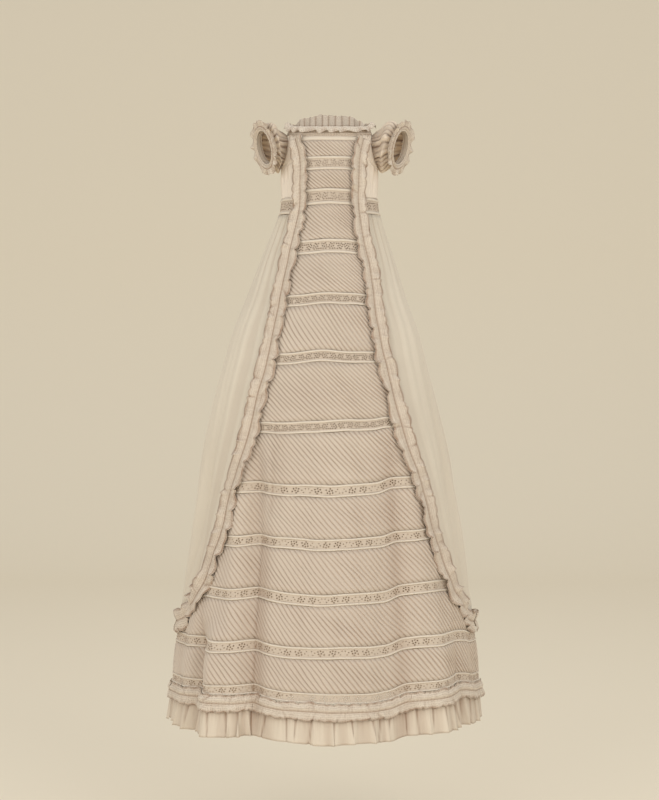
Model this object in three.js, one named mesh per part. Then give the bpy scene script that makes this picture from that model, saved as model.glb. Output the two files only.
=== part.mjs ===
// An infant's long christening robe of fine cotton, filled out as if worn, with nothing inside it.
// A flat panel of diagonal tucks and embroidered insertions runs from neck to hem between two
// double frills, the robings, which turn outwards low down and go round the back above the border.
//
// Millimetres, +Z up. The front faces -Y and the wearer's right side is at -X. The origin is the
// middle of the neck opening, level with the front of the neckline, where the wearer holds it up.
// A place on the body is an angle round it, 0 at the front and 90 at +X, and a height.
import * as THREE from "three";

const WALL = 1.2; // thickness of a cloth wall
const SEAM = 0.3; // gap between two pieces at a seam
const DEGREE = Math.PI / 180;

// Heights of the main seams
const NECK_RISE = 9; // how far the neckline climbs from front to shoulder, and again to the back
const NECK_TOP = 5; // top of the neck casing at the front
const CASING_DEEP = 13;
const WAIST_TOP = -104;
const WAIST_BOTTOM = -130;
const SKIRT_BOTTOM = -789.85;
const RUFFLE_TOP = -875.45;
const HEM = -934;

// The body without its folds, down from above the shoulders. shift moves a section sideways.
const SECTIONS = [
  { z: 50, halfWidth: 60, front: 41, back: 43, shift: 0 },
  { z: 14, halfWidth: 63, front: 43, back: 45, shift: 0 },
  { z: -8, halfWidth: 69, front: 47, back: 48, shift: 0 },
  { z: -40, halfWidth: 75, front: 52, back: 52, shift: 0 },
  { z: -70, halfWidth: 77, front: 55, back: 54, shift: 0 },
  { z: -104, halfWidth: 76, front: 55, back: 54, shift: 0 },
  { z: -128, halfWidth: 79, front: 57, back: 56, shift: 0 },
  { z: -152, halfWidth: 87, front: 61, back: 63, shift: -1 },
  { z: -200, halfWidth: 105, front: 71, back: 76, shift: -3 },
  { z: -264, halfWidth: 127, front: 90, back: 98, shift: -5 },
  { z: -312, halfWidth: 145, front: 102, back: 112, shift: -6 },
  { z: -376, halfWidth: 162, front: 117, back: 128, shift: -7 },
  { z: -424, halfWidth: 173, front: 126, back: 138, shift: -7 },
  { z: -504, halfWidth: 188, front: 141, back: 155, shift: -6 },
  { z: -584, halfWidth: 199, front: 153, back: 168, shift: -5 },
  { z: -664, halfWidth: 211, front: 164, back: 180, shift: -5 },
  { z: -744, halfWidth: 223, front: 174, back: 191, shift: -6 },
  { z: -784, halfWidth: 229, front: 179, back: 196, shift: -6 },
  { z: -850, halfWidth: 236, front: 186, back: 204, shift: -6 },
  { z: -936, halfWidth: 243, front: 192, back: 211, shift: -6 },
];

// Folds that fall from the gathers: angle at the hem and where each starts, the heights it starts
// and is full grown at, its depth, its spread in degrees, and the roll of cloth beside it, whose
// height is a share of the depth and whose sign is the side it stands on.
const FOLDS = [
  { name: "right front crease", hem: -27, top: -34, start: -430, full: -600, depth: 17, spread: 5, roll: -0.4 },
  { name: "right edge pleat", hem: -57, top: -57, start: -750, full: -812, depth: 15, spread: 6.5, roll: 1 },
  { name: "front swell", hem: 3, top: 4, start: -500, full: -760, depth: -5, spread: 14, roll: 0 },
  { name: "left front trough", hem: 29, top: 31, start: -400, full: -640, depth: 9, spread: 8, roll: 0.4 },
  { name: "left edge trough", hem: 62, top: 62, start: -735, full: -840, depth: 8, spread: 7, roll: -0.6 },
  { name: "left side", hem: 84, top: 70, start: -330, full: -590, depth: 7, spread: 7, roll: 0.5 },
  { name: "left back", hem: 112, top: 98, start: -300, full: -560, depth: 10, spread: 8, roll: -0.5 },
  { name: "left back inner", hem: 140, top: 128, start: -280, full: -540, depth: 12, spread: 8, roll: 0.5 },
  { name: "centre back", hem: 170, top: 164, start: -260, full: -520, depth: 11, spread: 8, roll: -0.5 },
  { name: "right back inner", hem: 199, top: 206, start: -280, full: -540, depth: 12, spread: 8, roll: 0.5 },
  { name: "right back", hem: 228, top: 240, start: -300, full: -560, depth: 10, spread: 9, roll: -0.5 },
  { name: "right back outer", hem: 254, top: 266, start: -310, full: -570, depth: 9, spread: 7, roll: 0.5 },
  { name: "right side", hem: 278, top: 296, start: -340, full: -600, depth: 7, spread: 7, roll: -0.4 },
];
const ROLL_AT = 1.7; // how many spreads a roll stands from its fold
const LOOK = 0.4; // degrees to each side used to find which way the cloth faces

// The seam under each robing, where the front panel meets bodice and skirt, straight between rows.
const PANEL_SEAM = [
  { z: 30, angle: 38 },
  { z: -106, angle: 38 },
  { z: -184.5, angle: 36 },
  { z: -267, angle: 34 },
  { z: -357.5, angle: 34 },
  { z: -465.5, angle: 38.6 },
  { z: -560.5, angle: 45.3 },
  { z: -641, angle: 51 },
  { z: -730.5, angle: 62 },
  { z: SKIRT_BOTTOM, angle: 89.5 },
];

// Embroidered insertions down the front, with the pitch of the tucks in the strip above each and
// the run of a tuck along the strip for each millimetre down.
const INSERTIONS = [
  { top: -41, bottom: -63.5, pitch: 6.6, slant: 1.15 },
  { top: -93, bottom: -119, pitch: 6.6, slant: 1.1 },
  { top: -173, bottom: -196, pitch: 6.8, slant: 1.2 },
  { top: -257.5, bottom: -276.5, pitch: 7.2, slant: 1.15 },
  { top: -348, bottom: -367, pitch: 7.4, slant: 0.7 },
  { top: -456, bottom: -475, pitch: 7.6, slant: 1 },
  { top: -551, bottom: -570, pitch: 7.8, slant: 0.9 },
  { top: -632, bottom: -650, pitch: 8, slant: 0.9 },
  { top: -712.5, bottom: -730.5, pitch: 8.2, slant: 0.85 },
  { top: -790, bottom: -809, pitch: 8.3, slant: 0.85 },
  { top: -859, bottom: -875, pitch: 8.3, slant: 0.8 },
];
const PIPING = 0.9; // how far the corded edge of an insertion stands out
const TUCK_RISE = 1.1; // how far a tuck stands out
const TUCK_LEAN = 0.62; // where its crest lies across its pitch
const TUCK_TOP = -8.3;
const INSIDE_EVERY = 4; // the plain inside of a tucked strip has a point at one station in so many
const INSERTION_COLUMN = 7.5; // degrees to a column of an insertion
const SKIRT_ROWS = [-730.5, -641, -560.5, -465.5, -357.5, -312, -267, -184.5];
const SKIRT_COLUMNS = 22;
const PANEL_GAP = 0.7; // gap under the robings, wider because the walls curve differently
const SEAM_LOOK = 60; // where degrees are turned into millimetres for the gap at a seam

// The double frills: the robings, and the heading over the hem ruffle. clear is how far the line
// of stitching stands off the body's inner face, and rise how much further the free edges stand.
const ROBING = { halfWidth: 12, widening: 5, rise: 4, wave: 2.6, waves: 18, samples: 3, clear: 3.9 };
const ROBING_BACK = { halfWidth: 15, widening: 0, rise: 4, wave: 2.6, waves: 12, samples: 3, clear: 3.8 };
const HEADING = { halfWidth: 10.5, widening: 0, rise: 3.6, wave: 1.6, waves: 22, samples: 2, clear: 4.7 };
const HEADING_AT = -888;
const ROBING_TOP = -11;
const FRILL_SPREAD = 2.4; // millimetres to a degree where a frill's path is smoothed
const FRILL_UNEVEN = 0.08; // how much the width of a frill comes and goes
const NEAR = 0.004; // share of a path used to find its direction
const ROBING_TURN = -776; // height at which the robings go round the back
const ROBING_PATH = [
  { angle: 47, z: ROBING_TOP },
  { angle: 39.5, z: -32 },
  { angle: 35.5, z: -62 },
  { angle: 34.5, z: -110 },
  { angle: 35, z: -190 },
  { angle: 34, z: -269 },
  { angle: 34, z: -347 },
  { angle: 36.5, z: -424 },
  { angle: 41, z: -500 },
  { angle: 46.5, z: -577 },
  { angle: 52, z: -654 },
  { angle: 62, z: -727 },
  { angle: 70, z: -748 },
  { angle: 78, z: -764 },
  { angle: 84.5, z: -773 },
  { angle: 89.6, z: ROBING_TURN },
];

const RUFFLE = { waves: 22, samples: 2, wave: 4.5, flare: 5.5 };
const NECK_FRONT = { waves: 11, samples: 3, out: 8.5, drop: 9.5, wave: 2 };
// The standing frill is a round arch over the back, low from foot degrees away from its middle, and
// a little higher again at the shoulders.
const NECK_BACK = { waves: 8, samples: 2, stand: 17.5, low: 2.5, foot: 58, shoulder: 3, wave: 2 };

// The armhole on the body's side, and the rings of the puffed sleeve at the wearer's left: their
// middles, how far each has turned from facing sideways to facing along the cuff, and their sizes.
const ARMHOLE = { angle: 90, halfAngle: 24, middle: -26, halfHeight: 26, squareness: 0.8, inset: 1.1 };
const CUFF_FACES = new THREE.Vector3(0.878, -0.407, -0.252).normalize();
const SLEEVE_SIDES = 16;
const SLEEVE_RINGS = [
  { x: 80, y: -2, z: -24, turn: 0.15, across: 25, up: 28 },
  { x: 87, y: -7, z: -22, turn: 0.45, across: 32, up: 36.5 },
  { x: 94, y: -13, z: -21, turn: 0.75, across: 34, up: 38 },
  { x: 99.5, y: -17.5, z: -21, turn: 1, across: 31, up: 33 },
  { x: 102.5, y: -19, z: -21.5, turn: 1, across: 26.3, up: 26.8 },
];
const SLEEVE_FOOT = 80; // where a sleeve leaves the body, as a distance from the middle
// Each sleeve, and how far it stands out as a share of the rings' own distance from that start.
const SLEEVES = [
  { side: "left", sign: 1, reach: 1.1 },
  { side: "right", sign: -1, reach: 0.7 },
];
const CUFF = { x: 102.8, y: -19.2, z: -21.6, wide: 6, radius: 26 };
const CUFF_FRILL = { radius: 38.5, waves: 9, samples: 3, wave: 2.2, flare: 1.5 };
const GATHERS = { skirt: 1.6, fade: 130, bodice: 0.8, sleeve: 1.2 };
const BACK_LAP = { angle: 6, from: 172, out: 2.6 };
const BUTTON = { radius: 4.5, thick: 2, sides: 12, heights: [-14, -54, -94] };

const cloth = (name, color, roughness) =>
  new THREE.MeshStandardMaterial({ name, color, roughness, metalness: 0 });
const MATERIALS = {
  cambric: cloth("cambric", 0xe6d9c4, 0.9),
  tucked: cloth("tucked", 0xe2d3bd, 0.9),
  embroidery: cloth("embroidery", 0xdccbb4, 0.95),
  frill: cloth("frill", 0xe4d5c2, 0.9),
  button: cloth("button", 0xe8dfcf, 0.7),
};

const mix = (a, b, t) => a + (b - a) * t;
const clamp01 = (t) => Math.min(1, Math.max(0, t));
const smooth = (t) => clamp01(t) ** 2 * (3 - 2 * clamp01(t));

// A column of a table at a height, on a smooth curve through its rows, which go down.
function column(table, key, z) {
  const last = table.length - 1;
  const i = Math.min(last - 1, Math.max(0, table.findIndex((row) => row.z <= z) - 1));
  const low = z < table[last].z ? last - 1 : i;
  const slope = (n) => {
    const a = table[Math.max(0, n - 1)];
    const b = table[Math.min(last, n + 1)];
    return (b[key] - a[key]) / (b.z - a.z);
  };
  const [p, q] = [table[low], table[low + 1]];
  const step = q.z - p.z;
  const t = clamp01((z - p.z) / step);
  const [t2, t3] = [t * t, t * t * t];
  return (
    p[key] * (2 * t3 - 3 * t2 + 1) +
    slope(low) * step * (t3 - 2 * t2 + t) +
    q[key] * (3 * t2 - 2 * t3) +
    slope(low + 1) * step * (t3 - t2)
  );
}

// How far the folds move the cloth out at a place on the body.
function foldOut(angle, z) {
  let out = 0;
  for (const f of FOLDS) {
    const grown = smooth((f.start - z) / (f.start - f.full));
    if (grown === 0) continue;
    const at = mix(f.top, f.hem, clamp01((f.start - z) / (f.start - HEM)));
    const away = (((((angle - at + 180) % 360) + 360) % 360) - 180) / f.spread;
    const roll = Math.abs(f.roll) * Math.exp(-((away - ROLL_AT * Math.sign(f.roll)) ** 2));
    out += f.depth * grown * (roll - Math.exp(-(away ** 2)));
  }
  return out;
}

// The inner face of the cloth, folds and all, at an angle in degrees and a height.
function innerFace(angle, z) {
  const halfWidth = column(SECTIONS, "halfWidth", z);
  const turn = angle * DEGREE;
  const depth = column(SECTIONS, Math.cos(turn) > 0 ? "front" : "back", z);
  const plain = new THREE.Vector2(halfWidth * Math.sin(turn), -depth * Math.cos(turn));
  const away = new THREE.Vector2(depth * Math.sin(turn), -halfWidth * Math.cos(turn)).normalize();
  plain.addScaledVector(away, foldOut(angle, z));
  return plain.setX(plain.x + column(SECTIONS, "shift", z));
}

// A point of the body at an angle and a height, moved out square to the folded cloth.
function bodyPoint(angle, z, out = 0) {
  const at = innerFace(angle, z);
  if (out === 0) return new THREE.Vector3(at.x, at.y, z);
  const along = innerFace(angle + LOOK, z).sub(innerFace(angle - LOOK, z)).normalize();
  return new THREE.Vector3(at.x + along.y * out, at.y - along.x * out, z);
}

const neckline = (angle) => NECK_TOP + NECK_RISE * (1 - Math.cos(angle * DEGREE));

function seamAngle(z) {
  const n = Math.max(1, PANEL_SEAM.findIndex((row) => row.z <= z));
  const [above, below] = [PANEL_SEAM[n - 1], PANEL_SEAM[n]];
  return mix(above.angle, below.angle, (z - above.z) / (below.z - above.z));
}

// A closed mesh from triangles over a list of points, turned to face out.
function solid(name, points, triangles, material) {
  let volume = 0;
  for (const [a, b, c] of triangles) {
    volume += points[a].dot(points[b].clone().cross(points[c]));
  }
  const facing = volume < 0 ? triangles.map(([a, b, c]) => [a, c, b]) : triangles;
  const geometry = new THREE.BufferGeometry();
  geometry.setFromPoints(points);
  geometry.setIndex(facing.flat());
  geometry.computeVertexNormals();
  const mesh = new THREE.Mesh(geometry, material);
  mesh.name = name;
  return mesh;
}

// Triangles that fill the strip between two lines of point numbers, which may differ in count.
function zip(left, right) {
  const triangles = [];
  let [i, j] = [0, 0];
  while (i < left.length - 1 || j < right.length - 1) {
    const leftNext = (i + 1) / (left.length - 1 || 1);
    const rightNext = (j + 1) / (right.length - 1 || 1);
    if (j === right.length - 1 || (i < left.length - 1 && leftNext <= rightNext)) {
      triangles.push([left[i], left[i + 1], right[j]]);
      i += 1;
    } else {
      triangles.push([left[i], right[j + 1], right[j]]);
      j += 1;
    }
  }
  return triangles;
}

// A wall swept along a piece: each section has its outer and inner points, listed the same way up.
// The inner side is cut along the same diagonals as the outer one, so that a twisted wall stays even.
function wall(name, sections, material, ring = false) {
  const points = [];
  const numbered = sections.map(({ outer, inner }) => {
    const add = (p) => points.push(p) - 1;
    return { outer: outer.map(add), inner: inner.map(add) };
  });
  const loop = ({ outer, inner }) => [...outer, ...[...inner].reverse()];
  const triangles = [];
  const joins = ring ? numbered.length : numbered.length - 1;
  for (let n = 0; n < joins; n += 1) {
    const [here, next] = [loop(numbered[n]), loop(numbered[(n + 1) % numbered.length])];
    const outside = numbered[n].outer.length;
    here.forEach((p, k) => {
      const k2 = (k + 1) % here.length;
      if (k < outside) triangles.push([p, here[k2], next[k2]], [p, next[k2], next[k]]);
      else triangles.push([p, here[k2], next[k]], [here[k2], next[k2], next[k]]);
    });
  }
  if (!ring) {
    const ends = [numbered[0], numbered[numbered.length - 1]];
    triangles.push(...zip(ends[0].inner, ends[0].outer));
    triangles.push(...zip(ends[1].outer, ends[1].inner));
  }
  return solid(name, points, triangles, material);
}

const steps = (count) => Array.from({ length: count + 1 }, (_, n) => n / count);
// A wave at a few points to each turn, a little uneven from one turn to the next.
const waveAt = (n, samples) => Math.cos((2 * Math.PI * n) / samples) * (0.9 + 0.2 * Math.sin(n * 1.7));

// A plain panel between two edges, given as angles at each height, whose rows go up from the
// lowest. The top may follow a line given as a height for each angle, with edges taken at topEdge.
function panel(name, { rows, edges, columns, material, top, topEdge, outAt = () => 0 }) {
  const sections = steps(columns).map((s, n) => {
    const places = rows.map((z) => ({ angle: mix(...edges(z), s), z }));
    if (top) {
      const angle = mix(...edges(topEdge), s);
      places.push({ angle, z: top(angle) });
    }
    const inner = n > 0 && n < columns;
    const at = (extra) => ({ angle, z }) => bodyPoint(angle, z, outAt(angle, z, n, inner) + extra);
    return { outer: places.map(at(WALL)), inner: places.map(at(0)) };
  });
  return wall(name, sections, material);
}

// A strip of diagonal tucks: outer points at each crest and hollow, over a plain inside.
function tuckedStrip(name, top, bottom, edges, { pitch, slant }) {
  const [zLow, zHigh] = [bottom + SEAM / 2, top - SEAM / 2];
  const middle = (zLow + zHigh) / 2;
  const [lowLeft, lowRight] = edges(zLow);
  const [highLeft, highRight] = edges(zHigh);
  const perDegree = (bodyPoint(0, middle).distanceTo(bodyPoint(highRight / 2, middle)) * 2) / highRight;
  const run = (slant * (zHigh - zLow)) / perDegree;
  const tuck = pitch / perDegree;
  const along = (a, b, t) => ({ angle: mix(a.angle, b.angle, t), z: mix(a.z, b.z, t) });
  const low = (angle) => ({ angle, z: zLow });
  const high = (angle) => ({ angle, z: zHigh });
  const flared = lowRight - run > highRight;
  const tip = flared ? low(lowRight) : high(highRight);
  const firstLow = highLeft + run;
  const lastLow = flared ? highRight + run : lowRight;
  const lastHigh = flared ? highRight : lowRight - run;
  const stations = [];
  const cover = ([lowFrom, lowTo], [highFrom, highTo]) => {
    const length = Math.max(lowTo.angle - lowFrom.angle, highTo.angle - highFrom.angle);
    const tucks = Math.max(1, Math.round(length / tuck));
    for (let n = 0; n < tucks; n += 1) {
      [0, TUCK_LEAN].forEach((part) => {
        const t = (n + part) / tucks;
        const place = { low: along(lowFrom, lowTo, t), high: along(highFrom, highTo, t) };
        const kept = (2 * n + (part ? 1 : 0)) % INSIDE_EVERY === 0;
        stations.push({ ...place, rise: part && TUCK_RISE, kept });
      });
    }
  };
  cover([low(lowLeft), low(firstLow)], [low(lowLeft), high(highLeft)]);
  cover([low(firstLow), low(lastLow)], [high(highLeft), high(lastHigh)]);
  cover([low(lastLow), tip], [high(lastHigh), tip]);
  stations.push({ low: tip, high: tip, rise: 0, kept: true });

  const points = [];
  const add = ({ angle, z }, out) => points.push(bodyPoint(angle, z, out)) - 1;
  const number = (station, out) => {
    const first = add(station.low, out);
    const pointed = station.low.angle === station.high.angle && station.low.z === station.high.z;
    return { low: first, high: pointed ? first : add(station.high, out) };
  };
  const outside = stations.map((s) => number(s, WALL + s.rise));
  const inside = stations.flatMap((s, n) => (s.kept ? [{ ...number(s, 0), from: n }] : []));
  const triangles = [];
  const face = (list, turned) => {
    list.slice(1).forEach((b, n) => {
      const a = list[n];
      const pointed = b.low === b.high;
      const halves = [pointed ? [a.low, b.low, a.high] : [a.low, b.low, b.high]];
      if (!pointed && a.low !== a.high) halves.push([a.low, b.high, a.high]);
      triangles.push(...halves.map(([p, q, r]) => (turned ? [p, r, q] : [p, q, r])));
    });
  };
  face(outside, false);
  face(inside, true);
  inside.slice(1).forEach((b, n) => {
    const a = inside[n];
    const outer = outside.slice(a.from, b.from + 1);
    const rim = (edge) => zip(outer.map((s) => s[edge]), [a[edge], b[edge]]);
    triangles.push(...rim("high"), ...rim("low").map(([p, q, r]) => [p, r, q]));
  });
  return solid(name, points, triangles, MATERIALS.tucked);
}

// A flat embroidered band with a corded edge above and below.
function insertionBand(name, top, bottom, edges, columns) {
  const [zLow, zHigh] = [bottom + SEAM / 2, top - SEAM / 2];
  const cord = 0.16 * (zHigh - zLow);
  const sections = steps(columns).map((s) => {
    const at = (z, out) => bodyPoint(mix(...edges(z), s), z, out);
    return {
      outer: [
        at(zLow, WALL + PIPING),
        at(zLow + cord, WALL),
        at(zHigh - cord, WALL),
        at(zHigh, WALL + PIPING),
      ],
      inner: [at(zLow, 0), at(zHigh, 0)],
    };
  });
  return wall(name, sections, MATERIALS.embroidery);
}

// A double frill stitched down its middle along a path over the body, both edges free and waved.
function doubleFrill(name, path, frill) {
  const { halfWidth, widening, rise, wave, waves, samples, clear } = frill;
  const flat = path.map(({ angle, z }) => new THREE.Vector3(angle * FRILL_SPREAD, z, 0));
  const curve = new THREE.CatmullRomCurve3(flat, false, "centripetal");
  const place = (t) => {
    const p = curve.getPointAt(clamp01(t));
    return { angle: p.x / FRILL_SPREAD, z: p.y };
  };
  const on = ({ angle, z }, out) => bodyPoint(angle, z, out);
  const sections = steps(waves * samples).map((t, n) => {
    const here = place(t);
    const along = on(place(t + NEAR), 0).sub(on(place(t - NEAR), 0)).normalize();
    const out = on(here, 1).sub(on(here, 0)).normalize();
    const side = out.clone().cross(along).normalize();
    const middle = on(here, clear);
    const half = halfWidth + widening * t;
    const edge = (sign, phase, thick) => {
      const reach = half * (1 + FRILL_UNEVEN * waveAt(n + phase + 1, samples));
      const lift = rise + wave * waveAt(n + phase, samples);
      return middle.clone().addScaledVector(side, sign * reach).addScaledVector(out, lift + thick);
    };
    const row = (thick) => [
      edge(-1, 0, thick),
      middle.clone().addScaledVector(out, thick),
      edge(1, 1, thick),
    ];
    return { outer: row(WALL), inner: row(0) };
  });
  return wall(name, sections, MATERIALS.frill);
}

// Half of the hem ruffle: flat where it is sewn on, and waved and flared at the hem.
function hemRuffle(name, from, to) {
  const { waves, samples, wave, flare } = RUFFLE;
  const sections = steps(waves * samples).map((s, n) => {
    const angle = mix(from, to, s);
    const low = flare + wave * waveAt(n, samples);
    return {
      outer: [bodyPoint(angle, HEM, low + WALL), bodyPoint(angle, RUFFLE_TOP, WALL)],
      inner: [bodyPoint(angle, HEM, low), bodyPoint(angle, RUFFLE_TOP, 0)],
    };
  });
  return wall(name, sections, MATERIALS.cambric);
}

// The neck casing with its frill turned down over the front.
function neckFrillFront(name, from, to) {
  const { waves, samples, out, drop, wave } = NECK_FRONT;
  const sections = steps(waves * samples).map((s, n) => {
    const angle = mix(from, to, s);
    const top = neckline(angle);
    const at = (away, z) => bodyPoint(angle, z, away);
    const edge = out + wave * waveAt(n, samples);
    const low = top - drop * (0.5 + 0.5 * Math.cos(angle * DEGREE)) + 0.6 * wave * waveAt(n + 1, samples);
    return {
      outer: [at(WALL, top - CASING_DEEP), at(WALL + 0.4, top - 2.2), at(edge, low - WALL)],
      inner: [at(0, top - CASING_DEEP), at(0, top), at(edge + 0.8, low)],
    };
  });
  return wall(name, sections, MATERIALS.frill);
}

// How high the back of the neck frill stands at an angle.
function backStand(angle) {
  const { stand, low, foot, shoulder } = NECK_BACK;
  const away = Math.abs(180 - Math.abs(angle));
  const reach = Math.sin(Math.min(away, foot) * DEGREE) / Math.sin(foot * DEGREE);
  return mix(low, stand, Math.sqrt(1 - Math.min(1, reach) ** 2)) + shoulder * Math.exp(-(((away - 90) / 9) ** 2));
}

// The neck casing with its frill standing up behind.
function neckFrillBack(name, from, to) {
  const { waves, samples, wave } = NECK_BACK;
  const sections = steps(waves * samples).map((s, n) => {
    const angle = mix(from, to, s);
    const top = neckline(angle);
    const edge = 1 + wave * waveAt(n, samples);
    const high = top + backStand(angle);
    const row = (thick) => [
      bodyPoint(angle, top - CASING_DEEP, thick),
      bodyPoint(angle, top, thick),
      bodyPoint(angle, high, edge + thick),
    ];
    return { outer: row(WALL), inner: row(0) };
  });
  return wall(name, sections, MATERIALS.frill);
}

// How far the edge of the armhole lies from the middle of the body's side, in degrees, at a height.
function armholeReach(z) {
  const { middle, halfHeight, halfAngle, squareness } = ARMHOLE;
  const climb = Math.abs(z - middle) / halfHeight;
  if (climb >= 1) return 0;
  return halfAngle * Math.cos(Math.asin(climb ** (1 / squareness))) ** squareness;
}

// A puffed sleeve, its cuff band and its frill.
function sleeve({ side, sign, reach: stretch }) {
  const turns = (count) => steps(count).slice(1).map((s, n) => ({ phi: 2 * Math.PI * s, n }));
  const ringPoint = ({ x, y, z, turn = 1 }, phi, across, up, along = 0) => {
    const axis = new THREE.Vector3(1, 0, 0).lerp(CUFF_FACES, turn).normalize();
    const level = new THREE.Vector3(0, 0, 1).cross(axis).normalize();
    const upright = axis.clone().cross(level);
    const p = new THREE.Vector3(mix(SLEEVE_FOOT, x, stretch), y, z)
      .addScaledVector(level, across * Math.cos(phi))
      .addScaledVector(upright, up * Math.sin(phi))
      .addScaledVector(axis, along);
    return new THREE.Vector3(p.x * sign, p.y, p.z);
  };
  const power = (value) => Math.sign(value) * Math.abs(value) ** ARMHOLE.squareness;
  const armhole = (phi, inset, out) => {
    const scale = 1 - inset / ARMHOLE.halfHeight;
    const angle = ARMHOLE.angle + ARMHOLE.halfAngle * scale * power(Math.cos(phi));
    const z = ARMHOLE.middle + ARMHOLE.halfHeight * scale * power(Math.sin(phi));
    return bodyPoint(sign * angle, z, out);
  };
  const puff = turns(SLEEVE_SIDES).map(({ phi, n }) => {
    const pleat = GATHERS.sleeve * waveAt(n, 2);
    const rings = (thick) =>
      SLEEVE_RINGS.map((ring, k) => {
        const puffed = thick + (k === 1 || k === 2 ? pleat : 0);
        return ringPoint(ring, phi, ring.across + puffed, ring.up + puffed);
      });
    return {
      outer: [armhole(phi, ARMHOLE.inset, WALL), ...rings(WALL)],
      inner: [armhole(phi, ARMHOLE.inset + WALL, 0.2), ...rings(0)],
    };
  });
  const band = turns(SLEEVE_SIDES).map(({ phi }) => {
    const { wide, radius } = CUFF;
    const row = (r) => [ringPoint(CUFF, phi, r, r), ringPoint(CUFF, phi, r, r, wide)];
    return { outer: row(radius + WALL), inner: row(radius) };
  });
  const frill = turns(CUFF_FRILL.waves * CUFF_FRILL.samples).map(({ phi, n }) => {
    const { radius, samples, wave, flare } = CUFF_FRILL;
    const lift = CUFF.wide + SEAM + flare + wave * waveAt(n, samples);
    const reach = radius + 1.2 * waveAt(n + 1, samples);
    const row = (thick) => [
      ringPoint(CUFF, phi, CUFF.radius, CUFF.radius, CUFF.wide + SEAM + thick),
      ringPoint(CUFF, phi, reach, reach, lift + thick),
    ];
    return { outer: row(WALL), inner: row(0) };
  });
  return [
    wall(`sleeve_${side}`, puff, MATERIALS.cambric, true),
    wall(`cuff_${side}`, band, MATERIALS.embroidery, true),
    wall(`cuff_frill_${side}`, frill, MATERIALS.frill, true),
  ];
}

// Bodice, waist insertion, skirt and back neck frill on the side given by sign.
function sidePieces(side, sign) {
  const degree = (z) => bodyPoint(SEAM_LOOK, z).distanceTo(bodyPoint(SEAM_LOOK + 1, z));
  const gapAt = (z) => SEAM / 2 / degree(z);
  const lapped = sign < 0;
  const centreBack = lapped ? 180 + BACK_LAP.angle : 180;
  const seamToSide = (z) => [
    sign * (seamAngle(z) + PANEL_GAP / degree(z)),
    sign * (ARMHOLE.angle - Math.max(gapAt(z), armholeReach(z))),
  ];
  const sideToBack = (z) => [
    sign * (ARMHOLE.angle + Math.max(gapAt(z), armholeReach(z))),
    sign * (centreBack - gapAt(z)),
  ];
  const seamToBack = (z) => [sign * (seamAngle(z) + PANEL_GAP / degree(z)), sign * (180 - gapAt(z))];
  const casing = (angle) => neckline(angle) - CASING_DEEP - SEAM;
  const soft = (angle, z, n, inner) => (inner ? GATHERS.bodice * waveAt(n, 2) : 0);
  const lapOut = (angle, z, n, inner) => {
    const beyond = smooth((Math.abs(angle) - BACK_LAP.from) / (180 - BACK_LAP.from - 3));
    const flat = 1 - smooth((Math.abs(angle) - 160) / 10);
    return (lapped ? BACK_LAP.out * beyond : 0) + soft(angle, z, n, inner) * flat;
  };
  const gathered = (angle, z, n) =>
    waveAt(n, 2) * GATHERS.skirt * (1 - smooth((WAIST_BOTTOM - z) / GATHERS.fade));
  const armholeRows = [0, 0.25, 0.5, 0.75, 1].map((quarter) => {
    const swing = Math.sin((quarter * Math.PI) / 2) ** ARMHOLE.squareness;
    return ARMHOLE.halfHeight * swing;
  });
  const [, low, mid, high, full] = armholeRows;
  const belowArm = [full, high, mid, low, 0].map((away) => ARMHOLE.middle - away);
  const bodiceRows = [WAIST_TOP + SEAM / 2, -86, ...belowArm];
  return [
    panel(`bodice_front_${side}`, {
      rows: [...bodiceRows, ARMHOLE.middle + low],
      edges: seamToSide,
      columns: 4,
      material: MATERIALS.cambric,
      top: casing,
      topEdge: ARMHOLE.middle + mid,
      outAt: soft,
    }),
    panel(`bodice_back_${side}`, {
      rows: [...bodiceRows, ARMHOLE.middle + low, ARMHOLE.middle + mid, ARMHOLE.middle + high],
      edges: sideToBack,
      columns: 8,
      material: MATERIALS.cambric,
      top: casing,
      topEdge: ARMHOLE.middle + high,
      outAt: lapOut,
    }),
    insertionBand(`waist_insertion_${side}`, WAIST_TOP, WAIST_BOTTOM, seamToBack, 12),
    panel(`skirt_${side}`, {
      rows: [SKIRT_BOTTOM, -773, -759, -745, ...SKIRT_ROWS, WAIST_BOTTOM - SEAM],
      edges: seamToBack,
      columns: SKIRT_COLUMNS,
      material: MATERIALS.cambric,
      outAt: gathered,
    }),
    neckFrillBack(`neck_frill_back_${side}`, sign * 90.2, sign * 179.8),
  ];
}

// The front panel: tucked strips and insertions in turn, down to the border.
function frontPanel() {
  const edges = (z) => {
    const seam = seamAngle(z);
    const limit = seam - SEAM / 2 / bodyPoint(seam, z).distanceTo(bodyPoint(seam + 1, z));
    return [-limit, limit];
  };
  const number = (n) => String(n + 1).padStart(2, "0");
  const strips = INSERTIONS.slice(0, -1).map((insertion, n) => {
    const above = n ? INSERTIONS[n - 1].bottom : TUCK_TOP;
    return tuckedStrip(`front_tucks_${number(n)}`, above, insertion.top, edges, insertion);
  });
  const bands = INSERTIONS.slice(0, -2).map(({ top, bottom }, n) => {
    const columns = 2 * Math.round(seamAngle(top) / INSERTION_COLUMN);
    return insertionBand(`front_insertion_${number(n)}`, top, bottom, edges, columns);
  });
  return [...strips, ...bands];
}

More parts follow.
